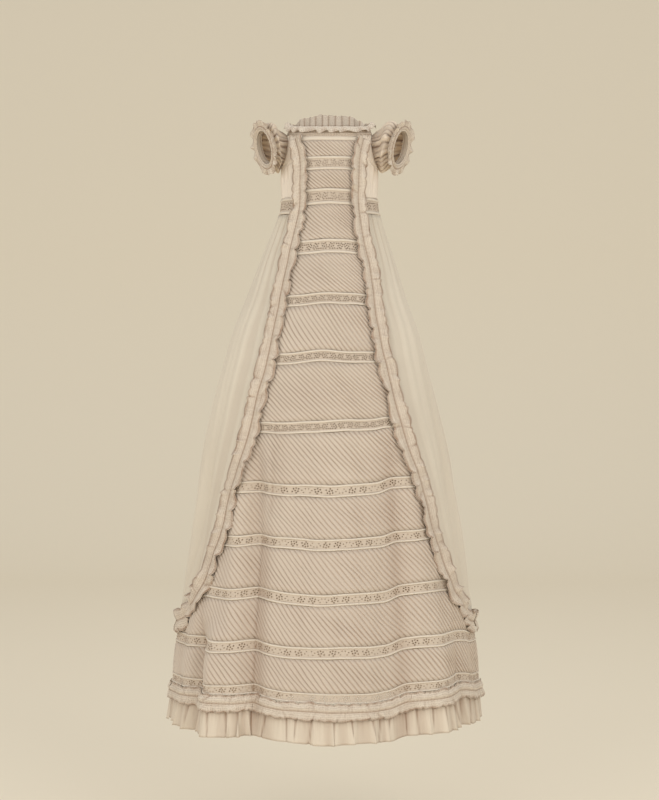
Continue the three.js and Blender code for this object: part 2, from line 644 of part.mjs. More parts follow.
// The border round the hem, in a front and a back half that meet at the side seams.
function border() {
  const [upper, lower] = INSERTIONS.slice(-2);
  const halves = [
    { half: "front", from: -89.9, to: 89.9, columns: 36 },
    { half: "back", from: 90.1, to: 269.9, columns: 24 },
  ];
  return halves.flatMap(({ half, from, to, columns }) => {
    const edges = () => [from, to];
    const name = `border_tucks_${half}`;
    const rows = [lower.top + SEAM / 2, upper.bottom - SEAM / 2];
    const tucks =
      half === "front"
        ? tuckedStrip(name, upper.bottom, lower.top, edges, lower)
        : panel(name, { rows, edges, columns, material: MATERIALS.tucked });
    const path = steps(12).map((t) => ({ angle: mix(from, to, t), z: HEADING_AT }));
    return [
      insertionBand(`border_insertion_upper_${half}`, upper.top, upper.bottom, edges, columns),
      tucks,
      insertionBand(`border_insertion_lower_${half}`, lower.top, lower.bottom, edges, columns),
      doubleFrill(`hem_heading_${half}`, path, HEADING),
      hemRuffle(`hem_ruffle_${half}`, from, to),
    ];
  });
}

// The robings down each side of the front panel and round the back.
function robings() {
  const mirrored = ROBING_PATH.map(({ angle, z }) => ({ angle: -angle, z }));
  const back = steps(12).map((t) => ({ angle: mix(90.3, 269.7, t), z: ROBING_TURN }));
  return [
    doubleFrill("robing_left", ROBING_PATH, ROBING),
    doubleFrill("robing_right", mirrored, ROBING),
    doubleFrill("robing_back", back, ROBING_BACK),
  ];
}

// Small flat buttons on the lap of the back opening.
function buttons() {
  return BUTTON.heights.map((z, n) => {
    const out = BACK_LAP.out + WALL + 2 * SEAM + BUTTON.thick / 2;
    const { radius, thick, sides } = BUTTON;
    const mesh = new THREE.Mesh(new THREE.CylinderGeometry(radius, radius, thick, sides), MATERIALS.button);
    mesh.name = `back_button_${n + 1}`;
    mesh.position.copy(bodyPoint(180 - BACK_LAP.angle / 2, z, out));
    return mesh;
  });
}

const robe = new THREE.Group();
robe.add(
  ...frontPanel(),
  ...sidePieces("left", 1),
  ...sidePieces("right", -1),
  neckFrillFront("neck_frill_front", -89.8, 89.8),
  ...SLEEVES.flatMap(sleeve),
  ...robings(),
  ...border(),
  ...buttons(),
);

export default robe;
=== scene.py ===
"""An infant's long christening robe of fine cotton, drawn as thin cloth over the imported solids.

Lengths are millimetres until a mesh is made, which is in metres. A place on the robe is an angle
round the body, 0 at the front and 90 at the wearer's left, and a height below the neckline.
"""

import logging
import math
from dataclasses import dataclass, replace
from enum import Enum
from typing import Callable, Sequence

import bpy
import numpy as np
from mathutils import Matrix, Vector
from mathutils.geometry import delaunay_2d_cdt


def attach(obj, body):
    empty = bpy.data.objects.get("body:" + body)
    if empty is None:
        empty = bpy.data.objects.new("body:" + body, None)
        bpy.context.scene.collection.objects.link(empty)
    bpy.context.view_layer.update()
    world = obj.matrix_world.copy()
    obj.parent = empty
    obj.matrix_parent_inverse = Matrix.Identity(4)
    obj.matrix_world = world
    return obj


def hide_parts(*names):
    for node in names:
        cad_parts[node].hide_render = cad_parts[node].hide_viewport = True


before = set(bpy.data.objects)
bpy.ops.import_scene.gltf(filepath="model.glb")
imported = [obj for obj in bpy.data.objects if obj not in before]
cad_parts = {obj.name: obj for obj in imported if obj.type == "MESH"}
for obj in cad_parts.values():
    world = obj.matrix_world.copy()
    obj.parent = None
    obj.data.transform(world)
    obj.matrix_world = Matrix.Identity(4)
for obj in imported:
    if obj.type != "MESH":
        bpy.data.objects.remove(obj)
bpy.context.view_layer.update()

logging.basicConfig(level=logging.INFO, format="%(message)s")
log = logging.getLogger("robe")

MM = 0.001
SHELL = 0.9  # how far the outside of the cloth stands off the body's inner face
GAP = 0.15  # half the gap left between two pieces at a seam
PLAIN, GATHERED, FINE = 0.45, 0.4, 0.35  # how thick the shells of the three weights of cloth are
HALF_TURN = 179.8  # degrees across a front or a back half, clear of the seams
PIECE = "sewn_"  # what a piece's name starts with, before the name of its solid
Edges = Callable[[np.ndarray], tuple[np.ndarray, np.ndarray]]
Lengths = np.ndarray | float
Socket = bpy.types.NodeSocket


# ---- sizes


@dataclass(frozen=True)
class Section:
    """The body without its folds at one height."""

    z: float
    half_width: float
    front: float
    back: float
    shift: float = 0.0


@dataclass(frozen=True)
class Fold:
    """A fold that falls from the gathers, with the roll of cloth beside it."""

    hem: float
    top: float
    start: float
    full: float
    depth: float
    spread: float
    roll: float = 0.0

    def grown(self, z: np.ndarray) -> np.ndarray:
        """How far the fold has grown at a height, from 0 to 1."""
        return smooth((self.start - z) / (self.start - self.full))

    def place(self, z: np.ndarray) -> np.ndarray:
        """The fold's angle at a height."""
        return mix(self.top, self.hem, np.clip((self.start - z) / (self.start - SIZE.hem), 0, 1))

    def away(self, angle: np.ndarray, z: np.ndarray) -> np.ndarray:
        """How far an angle lies from the fold at a height, in parts of its spread."""
        return wrapped(angle - self.place(z)) / self.spread


@dataclass(frozen=True)
class Band:
    """An insertion, with the tucks of the strip above it."""

    top: float
    bottom: float
    pitch: float
    slant: float


@dataclass(frozen=True)
class Ring:
    """A ring of the sleeve at the wearer's left."""

    x: float
    y: float
    z: float
    turn: float
    across: float
    up: float


@dataclass(frozen=True)
class Level:
    """How far a level line of the front strays up, from the wearer's right edge to the left one."""

    z: float
    right: float
    crease: float
    middle: float
    swell: float
    left: float


@dataclass(frozen=True)
class Mark:
    """A sharp crease down the cloth, with painted shade along it and a soft painted shade on the side
    towards the wearer's left.
    """

    angle: float
    top: float
    bottom: float
    depth: float
    shade: float


SECTIONS = (
    Section(50, 60, 41, 43),
    Section(14, 63, 43, 45),
    Section(-8, 69, 47, 48),
    Section(-40, 75, 52, 52),
    Section(-70, 77, 55, 54),
    Section(-104, 76, 55, 54),
    Section(-128, 79, 57, 56),
    Section(-152, 87, 61, 63, -1),
    Section(-200, 105, 71, 76, -3),
    Section(-264, 127, 90, 98, -5),
    Section(-312, 145, 102, 112, -6),
    Section(-376, 162, 117, 128, -7),
    Section(-424, 173, 126, 138, -7),
    Section(-504, 188, 141, 155, -6),
    Section(-584, 199, 153, 168, -5),
    Section(-664, 211, 164, 180, -5),
    Section(-744, 223, 174, 191, -6),
    Section(-784, 229, 179, 196, -6),
    Section(-850, 236, 186, 204, -6),
    Section(-936, 243, 192, 211, -6),
)
FOLDS = (
    Fold(-27, -34, -430, -600, 17, 5, -0.4),
    Fold(-57, -57, -750, -812, 15, 6.5, 1),
    Fold(3, 4, -500, -760, -5, 14),
    Fold(29, 31, -400, -640, 9, 8, 0.4),
    Fold(62, 62, -735, -840, 8, 7, -0.6),
    Fold(84, 70, -330, -590, 7, 7, 0.5),
    Fold(112, 98, -300, -560, 10, 8, -0.5),
    Fold(140, 128, -280, -540, 12, 8, 0.5),
    Fold(170, 164, -260, -520, 11, 8, -0.5),
    Fold(199, 206, -280, -540, 12, 8, 0.5),
    Fold(228, 240, -300, -560, 10, 9, -0.5),
    Fold(254, 266, -310, -570, 9, 7, 0.5),
    Fold(278, 296, -340, -600, 7, 7, -0.4),
)
LEVELS = (
    Level(-20, 0, 0, 0, 0, 0),
    Level(-52, -2, -1, 0, 0, -2),
    Level(-106, -1, 0, 2, 1, -1),
    Level(-185, -4, -2, 1, 0.5, -2),
    Level(-267, -7.5, -4, 0.5, 0, -3),
    Level(-357, -7, -4, 2, -1.5, 0),
    Level(-466, -3, -1, 0.5, 4, 5.5),
    Level(-560, 3, 2.5, -1.5, 0, 8),
    Level(-641, 0, 4, 1, 1, 6),
    Level(-721, 1.5, 3.5, 0.5, 1, 7.5),
    Level(-800, 2.5, 1, 0.5, 1.5, 4.5),
    Level(-867, 7, 5, 1, 2.5, 8),
    Level(-888, 8.5, 5, 2, 3.5, 9),
    Level(-934, 0, 0, 0, 0, 0),
)
MARKS = (
    Mark(-24.5, -440, -572, 0.45, 0.10),
    Mark(-29, -596, -930, 0.6, 0.26),
    Mark(-57.5, -735, -930, 0.6, 0.12),
    Mark(27, -470, -905, 0.0, 0.17),
    Mark(9, -560, -880, 0.0, 0.06),
    Mark(140, -560, -900, 0.3, 0.12),
    Mark(199, -540, -900, 0.35, 0.14),
    Mark(-118, -600, -900, 0.3, 0.12),
)
BANDS = (
    Band(-41, -63.5, 6.6, 1.15),
    Band(-93, -119, 6.6, 1.1),
    Band(-173, -196, 6.8, 1.2),
    Band(-257.5, -276.5, 7.2, 1.15),
    Band(-348, -367, 7.4, 0.7),
    Band(-456, -475, 7.6, 1.0),
    Band(-551, -570, 7.8, 0.9),
    Band(-632, -650, 8.0, 0.9),
    Band(-712.5, -730.5, 8.2, 0.85),
    Band(-790, -809, 8.3, 0.85),
    Band(-859, -875, 8.3, 0.8),
)
SEAM_Z = (-789.85, -730.5, -641, -560.5, -465.5, -357.5, -267, -184.5, -106, 30)
SEAM_ANGLE = (89.5, 62, 51, 45.3, 38.6, 34, 34, 36, 38, 38)
SLEEVE_RINGS = (
    Ring(80, -2, -24, 0.15, 25, 28),
    Ring(87, -7, -22, 0.45, 32, 36.5),
    Ring(94, -13, -21, 0.75, 34, 38),
    Ring(99.5, -17.5, -21, 1, 31, 33),
    Ring(102.5, -19, -21.5, 1, 26.3, 26.8),
)


@dataclass(frozen=True)
class Sizes:
    """The robe's main heights and sizes, in millimetres and degrees."""

    neck_top: float = 5
    neck_rise: float = 9
    casing: float = 13
    binding_top: float = -8.6
    tuck_top: float = -16.4
    waist_top: float = -104
    waist_bottom: float = -130
    skirt_bottom: float = -789.85
    heading: float = -887
    ruffle_top: float = -875.45
    hem: float = -934
    turn: float = -776
    arm_middle: float = -26
    arm_height: float = 26
    arm_reach: float = 24
    arm_square: float = 0.8
    lap: float = 6
    lap_out: float = 2.6


SIZE = Sizes()


def smooth(t: np.ndarray) -> np.ndarray:
    """Rises from 0 to 1 with flat ends."""
    t = np.clip(t, 0, 1)
    return t * t * (3 - 2 * t)


def mix(a: np.ndarray, b: np.ndarray, t: np.ndarray) -> np.ndarray:
    """The value a share t of the way from a to b."""
    return a + (b - a) * t


def bell(t: np.ndarray, at: float = 0.0, spread: float = 1.0) -> np.ndarray:
    """A soft peak of 1 at a place, that falls away on both sides."""
    return np.exp(-(((t - at) / spread) ** 2))


def wrapped(angle: np.ndarray) -> np.ndarray:
    """The same angle from -180 to 180."""
    return (angle + 180) % 360 - 180


def between(run: np.ndarray, total: float, fade: float) -> np.ndarray:
    """Rises from 0 at one end of a run and falls to 0 at the other, over a length called fade."""
    return smooth(run / fade) * smooth((total - run) / fade)


def rolled(phase: np.ndarray, lean: float) -> np.ndarray:
    """A wave whose crests lean over."""
    return np.sin(phase + lean * np.sin(phase))


def run_along(points: np.ndarray) -> np.ndarray:
    """The length of a line of points up to each of them."""
    return np.concatenate([[0.0], np.cumsum(np.linalg.norm(np.diff(points, axis=0), axis=1))])


def pairs(along: np.ndarray, across: np.ndarray) -> np.ndarray:
    """Places on the flat cloth, from their two coordinates."""
    return np.stack(np.broadcast_arrays(along, across), axis=-1)


def drift(t: np.ndarray, seed: int, every: float) -> np.ndarray:
    """A smooth uneven line from -1 to 1 with a new value at each step of every.

    Args:
        t: Where to read the line.
        seed: Which line.
        every: The distance between its values.

    Returns:
        The line's values at t.
    """
    values = np.random.default_rng(seed).uniform(-1, 1, 512)
    place = np.asarray(t, float) / every + 7
    step = np.floor(place).astype(int)
    return mix(values[step % 512], values[(step + 1) % 512], smooth(place - step))


def hermite(xs: np.ndarray, values: np.ndarray, at: np.ndarray) -> np.ndarray:
    """A smooth curve through rows of values, read at other places.

    Args:
        xs: Where the rows lie, from low to high.
        values: The rows, along the first axis.
        at: The places to read.

    Returns:
        A row for each place.
    """
    slope = np.empty_like(values, dtype=float)
    shape = (-1,) + (1,) * (values.ndim - 1)
    slope[1:-1] = (values[2:] - values[:-2]) / (xs[2:] - xs[:-2]).reshape(shape)
    slope[0] = (values[1] - values[0]) / (xs[1] - xs[0])
    slope[-1] = (values[-1] - values[-2]) / (xs[-1] - xs[-2])
    n = np.clip(np.searchsorted(xs, at, side="right") - 1, 0, len(xs) - 2)
    step = (xs[n + 1] - xs[n]).reshape(shape)
    t = np.clip((at - xs[n]).reshape(shape) / step, 0, 1)
    return (
        values[n] * (2 * t**3 - 3 * t**2 + 1)
        + slope[n] * step * (t**3 - 2 * t**2 + t)
        + values[n + 1] * (3 * t**2 - 2 * t**3)
        + slope[n + 1] * step * (t**3 - t**2)
    )


class Body:
    """The folded surface that every piece of the robe is laid on."""

    look = 0.3
    roll_at = 1.7

    def __init__(self, sections: Sequence[Section], folds: Sequence[Fold]) -> None:
        """Reads the form at every half millimetre of height.

        Args:
            sections: The form without its folds.
            folds: The folds that fall from the gathers.
        """
        rows = sorted(sections, key=lambda row: row.z)
        xs = np.array([row.z for row in rows], float)
        self.heights = np.arange(-945, 56, 0.5)
        at = np.clip(self.heights, xs[0], xs[-1])
        self.columns = {
            key: hermite(xs, np.array([getattr(row, key) for row in rows], float), at)
            for key in ("half_width", "front", "back", "shift")
        }
        self.folds = folds

    def fold(self, angle: np.ndarray, z: np.ndarray) -> np.ndarray:
        """How far the folds move the cloth out.

        Args:
            angle: Degrees round the body.
            z: Heights.

        Returns:
            Millimetres out, for each angle and height.
        """
        out = np.zeros(np.broadcast(angle, z).shape)
        for f in self.folds:
            away = f.away(angle, z)
            roll = abs(f.roll) * bell(away, self.roll_at * np.sign(f.roll))
            out += f.depth * f.grown(z) * (roll - bell(away))
        return out + self.ease(angle, z)

    def ease(self, angle: np.ndarray, z: np.ndarray) -> np.ndarray:
        """The small unevenness of cloth that hangs free below the waist.

        Args:
            angle: Degrees round the body.
            z: Heights.

        Returns:
            Millimetres out, for each angle and height.
        """
        free = smooth((-300 - z) / 350)
        turn = np.radians(angle)
        loose = free * (
            0.9 * np.sin(23 * turn + 1.1 * np.sin(3 * turn) + z / 170)
            + 0.5 * np.sin(41 * turn + 2 * np.sin(5 * turn) - z / 120)
        )
        return loose - sum(2.4 * mark.depth * self.beside(mark, angle, z, 0, 0.9) for mark in MARKS)

    @staticmethod
    def beside(mark: Mark, angle: np.ndarray, z: np.ndarray, away: float, spread: float) -> np.ndarray:
        """A soft stripe along a sharp crease, some degrees away from it."""
        length = smooth((mark.top - z) / 60) * smooth((z - mark.bottom + 45) / 45)
        return length * bell(wrapped(angle - mark.angle - away), 0, spread)

    def painted_fold_shade(self, angle: np.ndarray, z: np.ndarray) -> np.ndarray:
        """How much painted shade darkens the cloth in its folds, along its sharp creases and beside the
        robings.

        Args:
            angle: Degrees round the body.
            z: Heights.

        Returns:
            A share from 0 to 1, for each angle and height.
        """
        total = np.zeros(np.broadcast(angle, z).shape)
        for f in self.folds:
            total += 0.009 * max(f.depth, 0) * f.grown(z) * bell(f.away(angle, z))
        for mark in MARKS:
            total += mark.depth * self.beside(mark, angle, z, 0, 0.45)
            total += mark.shade * self.beside(mark, angle, z, 3.2, 3.4)
        near = bell(np.abs(wrapped(angle)), seam(z), 5.5)
        return total + 0.15 * near * smooth((-130 - z) / 120) * smooth((z + 790) / 90)

    @staticmethod
    def stray(around: np.ndarray, z: np.ndarray) -> np.ndarray:
        """How far the level lines of the front stray from level.

        Args:
            around: Degrees from the middle of the front.
            z: Heights.

        Returns:
            Millimetres up, for each angle and height.
        """
        rows = LEVELS[::-1]
        heights = [row.z for row in rows]
        keys = ("right", "crease", "middle", "swell", "left")
        values = [np.interp(z, heights, [getattr(row, key) for row in rows]) for key in keys]
        edge = np.minimum(seam(z), 55)
        places = (-edge, -26 + 0 * edge, 0 * edge, 14 + 0 * edge, edge)
        total = values[0]
        for n in range(4):
            total = total + (values[n + 1] - values[n]) * smooth(
                (around - places[n]) / (places[n + 1] - places[n])
            )
        return total * (1 - smooth((np.abs(around) - edge) / 40))

    def face(self, angle: np.ndarray, z: np.ndarray) -> tuple[np.ndarray, np.ndarray]:
        """The x and y of the cloth's inner face.

        Args:
            angle: Degrees round the body.
            z: Heights.

        Returns:
            The x and the y, in millimetres.
        """
        turn = np.radians(angle)
        width, front, back, shift = (
            np.interp(z, self.heights, column) for column in self.columns.values()
        )
        depth = np.where(np.cos(turn) > 0, front, back)
        away = np.stack([depth * np.sin(turn), -width * np.cos(turn)])
        away = away / np.hypot(*away) * self.fold(angle, z)
        return width * np.sin(turn) + shift + away[0], -depth * np.cos(turn) + away[1]

    def sway(self, angle: np.ndarray, z: np.ndarray) -> np.ndarray:
        """How far the cloth's level lines wander up and down where it hangs free.

        Args:
            angle: Degrees round the body.
            z: Heights.

        Returns:
            Millimetres up, for each angle and height.
        """
        around = wrapped(angle)
        turn = np.radians(around)
        step = 5.5 * smooth((around - 23) / 9) * (1 - smooth((around - 58) / 30))
        peak = 3.2 * bell(around, self.folds[0].place(z), 7)
        ripple = 1.3 * np.sin(4 * turn + z / 95) + 0.7 * np.sin(11 * turn - z / 60)
        return smooth((-330 - z) / 280) * (step + peak + ripple) + self.stray(around, z)

    def point(self, angle: np.ndarray, z: np.ndarray, out: Lengths = 0.0) -> np.ndarray:
        """Points of the cloth, moved out square to it.

        Args:
            angle: Degrees round the body.
            z: Heights.
            out: Distance off the inner face.

        Returns:
            An array of points with x, y and z along its last axis.
        """
        angle, z, out = np.broadcast_arrays(np.asarray(angle, float), np.asarray(z, float), out)
        x, y = self.face(angle, z)
        ahead, behind = self.face(angle + self.look, z), self.face(angle - self.look, z)
        along = np.stack([ahead[0] - behind[0], ahead[1] - behind[1]])
        along = along / np.hypot(*along)
        return np.stack([x + along[1] * out, y - along[0] * out, z + self.sway(angle, z)], axis=-1)

    def square_out(self, angle: np.ndarray, z: np.ndarray) -> np.ndarray:
        """A millimetre's step square out from the cloth at each point."""
        return self.point(angle, z, 1.0) - self.point(angle, z, 0.0)

    def evenly(self, start: float, end: float, z: float) -> tuple[np.ndarray, np.ndarray]:
        """Angles from start to end and the length of cloth up to each of them at a height."""
        angles = np.linspace(start, end, 721)
        return angles, run_along(self.point(angles, z, SHELL))


BODY = Body(SECTIONS, FOLDS)


def neckline(angle: np.ndarray) -> np.ndarray:
    """The height of the neck's edge at an angle."""
    return SIZE.neck_top + SIZE.neck_rise * (1 - np.cos(np.radians(angle)))


def seam(z: np.ndarray) -> np.ndarray:
    """The angle of the seam under the robings at a height."""
    return np.interp(z, SEAM_Z, SEAM_ANGLE)


def arm_reach(z: np.ndarray) -> np.ndarray:
    """Half the armhole's width in degrees at a height."""
    climb = np.clip(np.abs(z - SIZE.arm_middle) / SIZE.arm_height, 0, 1)
    return SIZE.arm_reach * np.cos(np.arcsin(climb ** (1 / SIZE.arm_square))) ** SIZE.arm_square


# ---- finishes


class Network:
    """Adds nodes to a tree, each with its settings, values and links in one call."""

    def __init__(self, tree: bpy.types.NodeTree) -> None:
        """Empties the tree.

        Args:
            tree: The tree to fill.
        """
        self.tree = tree
        tree.nodes.clear()

    def add(self, kind: str, inputs: dict | None = None, **settings: object) -> bpy.types.Node:
        """Adds a node.

        Args:
            kind: The node's type.
            inputs: The value of each input, or the output that feeds it, by its name or number.
            **settings: The node's own settings.

        Returns:
            The new node.
        """
        made = self.tree.nodes.new(kind)
        for key, value in settings.items():
            setattr(made, key, value)
        for key, value in (inputs or {}).items():
            if isinstance(value, Socket):
                self.tree.links.new(value, made.inputs[key])
            else:
                made.inputs[key].default_value = value
        return made

    def math(self, operation: str, *terms: object) -> Socket:
        """Adds a sum of values and outputs, and returns its output."""
        return self.add("ShaderNodeMath", dict(enumerate(terms)), operation=operation).outputs[0]

    def blend(self, share: object, a: object, b: object, kind: str = "MIX") -> Socket:
        """Mixes two colours by a share, and returns the colour."""
        inputs = {"Factor": share, "A": a, "B": b}
        return self.add("ShaderNodeMix", inputs, data_type="RGBA", blend_type=kind).outputs["Result"]


class Surface(Enum):
    """What the cloth's face is like."""

    WOVEN = "woven"
    SHEER = "sheer"
    LACE = "lace"
    THREAD = "thread"


@dataclass(frozen=True)
class Finish:
    """A cloth and how it is coloured, woven and lit."""

    name: str
    colour: tuple[float, float, float]
    shade: tuple[float, float, float]
    surface: Surface
    pitch: float = 0.45
    bump: float = 0.12
    roughness: float = 0.88
    sheen: float = 0.25
    slubs: float = 0.35
    # the colour of painted shade, which the crease attribute mixes in
    crease: tuple[float, float, float] = (0.36, 0.25, 0.18)
    dots: float = 2.7
    # how strongly painted shade darkens the middle of each lace dot
    painted_dot_shade: float = 0.8
    through: float = 0.0  # the share of light that passes through the cloth
    slub_scale: tuple[float, float, float] = (1400, 60, 1)

    def material(self) -> bpy.types.Material:
        """The node material of this finish, made once."""
        made = bpy.data.materials.get(self.name)
        return made or self._build()

    def _build(self) -> bpy.types.Material:
        """Builds the node material.

        Returns:
            The new material.
        """
        mat = bpy.data.materials.new(self.name)
        mat.use_nodes = True
        net = Network(mat.node_tree)
        coords = net.add("ShaderNodeTexCoord").outputs
        axes = net.add("ShaderNodeSeparateXYZ", {0: coords["UV"]}).outputs
        turns = 2 * math.pi / (self.pitch * MM)
        weave = net.math("MULTIPLY", *(net.math("SINE", net.math("MULTIPLY", axes[n], turns)) for n in "XY"))
        stretch = net.add("ShaderNodeMapping", {"Scale": self.slub_scale, "Vector": coords["UV"]}).outputs[0]
        slub = net.add("ShaderNodeTexNoise", {"Vector": stretch, "Scale": 1.0, "Detail": 2.0}).outputs["Fac"]
        cloud = {"Vector": coords["Object"], "Scale": 9.0, "Detail": 3.0}
        amount = net.math("MULTIPLY_ADD", net.add("ShaderNodeTexNoise", cloud).outputs["Fac"], 1.1, -0.05)
        streaked = net.math("MULTIPLY_ADD", slub, self.slubs, amount)
        # painted shade: the crease attribute mixes the colour towards the crease colour where the cloth lies
        # in shade
        fold = net.add("ShaderNodeAttribute", attribute_name="crease").outputs["Fac"]
        colour = net.blend(streaked, (*self.shade, 1), (*self.colour, 1))
        colour = net.blend(fold, colour, (*self.crease, 1))
        height = net.math("MULTIPLY_ADD", slub, 0.8, weave)
        if self.surface is Surface.LACE:
            colour, height = self._worked(net, coords["UV"], colour, height)
        bump = net.add("ShaderNodeBump", {"Strength": self.bump, "Distance": 0.3 * MM, "Height": height})
        face = {
            "Base Color": colour, "Normal": bump.outputs[0], "Roughness": self.roughness,
            "Specular IOR Level": 0.2, "Sheen Weight": self.sheen, "Sheen Roughness": 0.5,
            "Sheen Tint": (1.0, 0.95, 0.88, 1),
        }
        shader = net.add("ShaderNodeBsdfPrincipled", face).outputs[0]
        if self.through:
            passed = net.add("ShaderNodeBsdfTranslucent", {"Color": colour}).outputs[0]
            shader = net.add("ShaderNodeMixShader", {"Fac": self.through, 1: shader, 2: passed}).outputs[0]
        net.add("ShaderNodeOutputMaterial", {"Surface": shader})
        return mat

    def _worked(
        self, net: Network, flat: Socket, colour: Socket, height: Socket
    ) -> tuple[Socket, Socket]:
        """Adds the small worked dots of lace, with painted shade in their sunken middles.

        Args:
            net: The material's nodes.
            flat: The place on the flat cloth.
            colour: The cloth's colour.
            height: The height of its relief.

        Returns:
            The colour and the height with the dots in them.
        """
        spots = {"Scale": 1 / (self.dots * MM), "Randomness": 0.45, "Vector": flat}
        near = net.add("ShaderNodeTexVoronoi", spots, voronoi_dimensions="2D").outputs["Distance"]
        # painted shade: the ramp darkens each dot's middle and leaves its rim
        ramp = net.add("ShaderNodeValToRGB", {"Fac": near})
        for stop, place, tint in zip(ramp.color_ramp.elements, (0.16, 0.30), ((0.55, 0.5, 0.47), (1, 1, 1))):
            stop.position, stop.color = place, (*tint, 1)
        raised = net.math("SMOOTH_MIN", near, 0.35, 0.1)
        colour = net.blend(self.painted_dot_shade, colour, ramp.outputs["Color"], "MULTIPLY")
        return colour, net.math("MULTIPLY_ADD", raised, 5.0, height)


CAMBRIC = Finish("cambric", (0.69, 0.61, 0.505), (0.60, 0.515, 0.425), Surface.WOVEN)
PUFFED = Finish("puffed_cambric", (0.97, 0.87, 0.73), (0.88, 0.775, 0.64), Surface.WOVEN, through=0.33)
SHEER = Finish(
    "fine_muslin", (0.70, 0.635, 0.525), (0.64, 0.57, 0.465), Surface.SHEER, pitch=0.38, slubs=0.3
)
# the same cambric as the plain pieces, coloured darker as painted shade of its tucks
TUCKED_SHADED = Finish("tucked_cambric", (0.635, 0.55, 0.455), (0.54, 0.45, 0.37), Surface.WOVEN)
EMBROIDERY = Finish(
    "worked_muslin", (0.69, 0.60, 0.49), (0.61, 0.52, 0.42), Surface.LACE,
    bump=0.2, dots=2.1, painted_dot_shade=0.55,
)
WORKED = Finish(
    "worked_border", (0.675, 0.59, 0.48), (0.60, 0.51, 0.415), Surface.LACE,
    bump=0.15, dots=2.4, painted_dot_shade=0.2,
)
PIPING = Finish("piping", (0.755, 0.675, 0.565), (0.68, 0.60, 0.495), Surface.THREAD, pitch=0.9, bump=0.3)
RUFFLE = Finish("hem_muslin", (0.72, 0.635, 0.515), (0.645, 0.555, 0.445), Surface.SHEER, slubs=0.3)
FRILL = Finish("edging", (0.72, 0.64, 0.53), (0.63, 0.545, 0.45), Surface.LACE)
THREAD = Finish("thread", (0.76, 0.685, 0.57), (0.68, 0.60, 0.49), Surface.THREAD, pitch=0.3, bump=0.3)


# ---- meshes


class ClothMesh:
    """Vertices, faces, the place of each vertex on the flat cloth and its painted shade, gathered into one
    mesh.
    """

    def __init__(self) -> None:
        """Starts with no cloth."""
        self.points: list[np.ndarray] = []
        self.flat: list[np.ndarray] = []
        self.faces: list[np.ndarray] = []
        self.painted_shades: list[np.ndarray] = []
        self.count = 0

    def add(self, points: np.ndarray, flat: np.ndarray, faces: np.ndarray, crease: Lengths = 0.0) -> None:
        """Adds points and faces.

        Args:
            points: The points, in millimetres.
            flat: Their places on the flat cloth.
            faces: Faces of three or four points.
            crease: How much painted shade darkens each point, from 0 to 1.
        """
        self.points.append(points.reshape(-1, 3))
        self.flat.append(flat.reshape(-1, 2))
        self.painted_shades.append(np.broadcast_to(crease, points.shape[:-1]).ravel())
        self.faces.append(faces + self.count)
        self.count += self.points[-1].shape[0]

    def grid(
        self, points: np.ndarray, flat: np.ndarray, ring: bool = False, turned: bool = False,
        crease: Lengths = 0.0,
    ) -> None:
        """Adds a grid of points, whose rows run along its first axis.

        Args:
            points: The grid, rows by columns by three.
            flat: The grid on the flat cloth, rows by columns by two.
            ring: Whether the last column joins the first.
            turned: Whether its faces look the other way.
            crease: How much painted shade darkens each point, from 0 to 1.
        """
        rows, columns = points.shape[:2]
        number = np.arange(rows * columns).reshape(rows, columns)
        if ring:
            number = np.concatenate([number, number[:, :1]], axis=1)
        a, b, c, d = number[:-1, :-1], number[:-1, 1:], number[1:, 1:], number[1:, :-1]
        order = (a, d, c, b) if turned else (a, b, c, d)
        faces = np.stack([part.ravel() for part in order], axis=1)
        self.add(points, flat, faces, crease)

    def build(self, name: str, finish: Finish, thick: float = 0.0) -> bpy.types.Object:
        """Makes the object, in metres.

        Args:
            name: The piece's name.
            finish: What it is made of.
            thick: How thick a shell it is, in millimetres, or 0 for a bare surface.

        Returns:
            The object, in the scene.
        """
        points = np.concatenate(self.points) * MM
        flat = np.concatenate(self.flat) * MM
        loops = np.concatenate([faces.ravel() for faces in self.faces]).astype(np.int32)
        totals = [np.full(len(faces), faces.shape[1]) for faces in self.faces]
        totals = np.concatenate(totals).astype(np.int32)
        starts = np.concatenate([[0], np.cumsum(totals)[:-1]]).astype(np.int32)
        mesh = bpy.data.meshes.new(name)
        mesh.vertices.add(len(points))
        mesh.vertices.foreach_set("co", points.ravel())
        mesh.loops.add(len(loops))
        mesh.loops.foreach_set("vertex_index", loops)
        mesh.polygons.add(len(totals))
        mesh.polygons.foreach_set("loop_start", starts)
        mesh.uv_layers.new(name="cloth")
        mesh.uv_layers["cloth"].data.foreach_set("uv", flat[loops].ravel())
        mesh.polygons.foreach_set("use_smooth", np.ones(len(totals), bool))
        # the crease attribute holds each point's painted shade, which the material mixes in
        depth = mesh.attributes.new("crease", "FLOAT", "POINT")
        depth.data.foreach_set("value", np.concatenate(self.painted_shades).clip(0, 1).astype(np.float32))
        mesh.update(calc_edges=True)
        mesh.validate()
        mesh.materials.append(finish.material())
        piece = bpy.data.objects.new(PIECE + name, mesh)
        bpy.context.scene.collection.objects.link(piece)
        if thick:
            shell = piece.modifiers.new("shell", "SOLIDIFY")
            shell.thickness = thick * MM
            shell.offset = -1
            settle(piece)
        return piece


def one_sheet(
    name: str, finish: Finish, points: np.ndarray, flat: np.ndarray, thick: float = 0.0, **grid: object
) -> bpy.types.Object:
    """Makes a piece from one grid of cloth.

    Args:
        name: The piece's name.
        finish: What it is made of.
        points: The grid, rows by columns by three, in millimetres.
        flat: The grid on the flat cloth.
        thick: How thick a shell it is, in millimetres, or 0 for a bare surface.
        **grid: What ClothMesh.grid takes beside these: ring, turned and crease.

    Returns:
        The object, in the scene.
    """
    mesh = ClothMesh()
    mesh.grid(points, flat, **grid)
    return mesh.build(name, finish, thick)


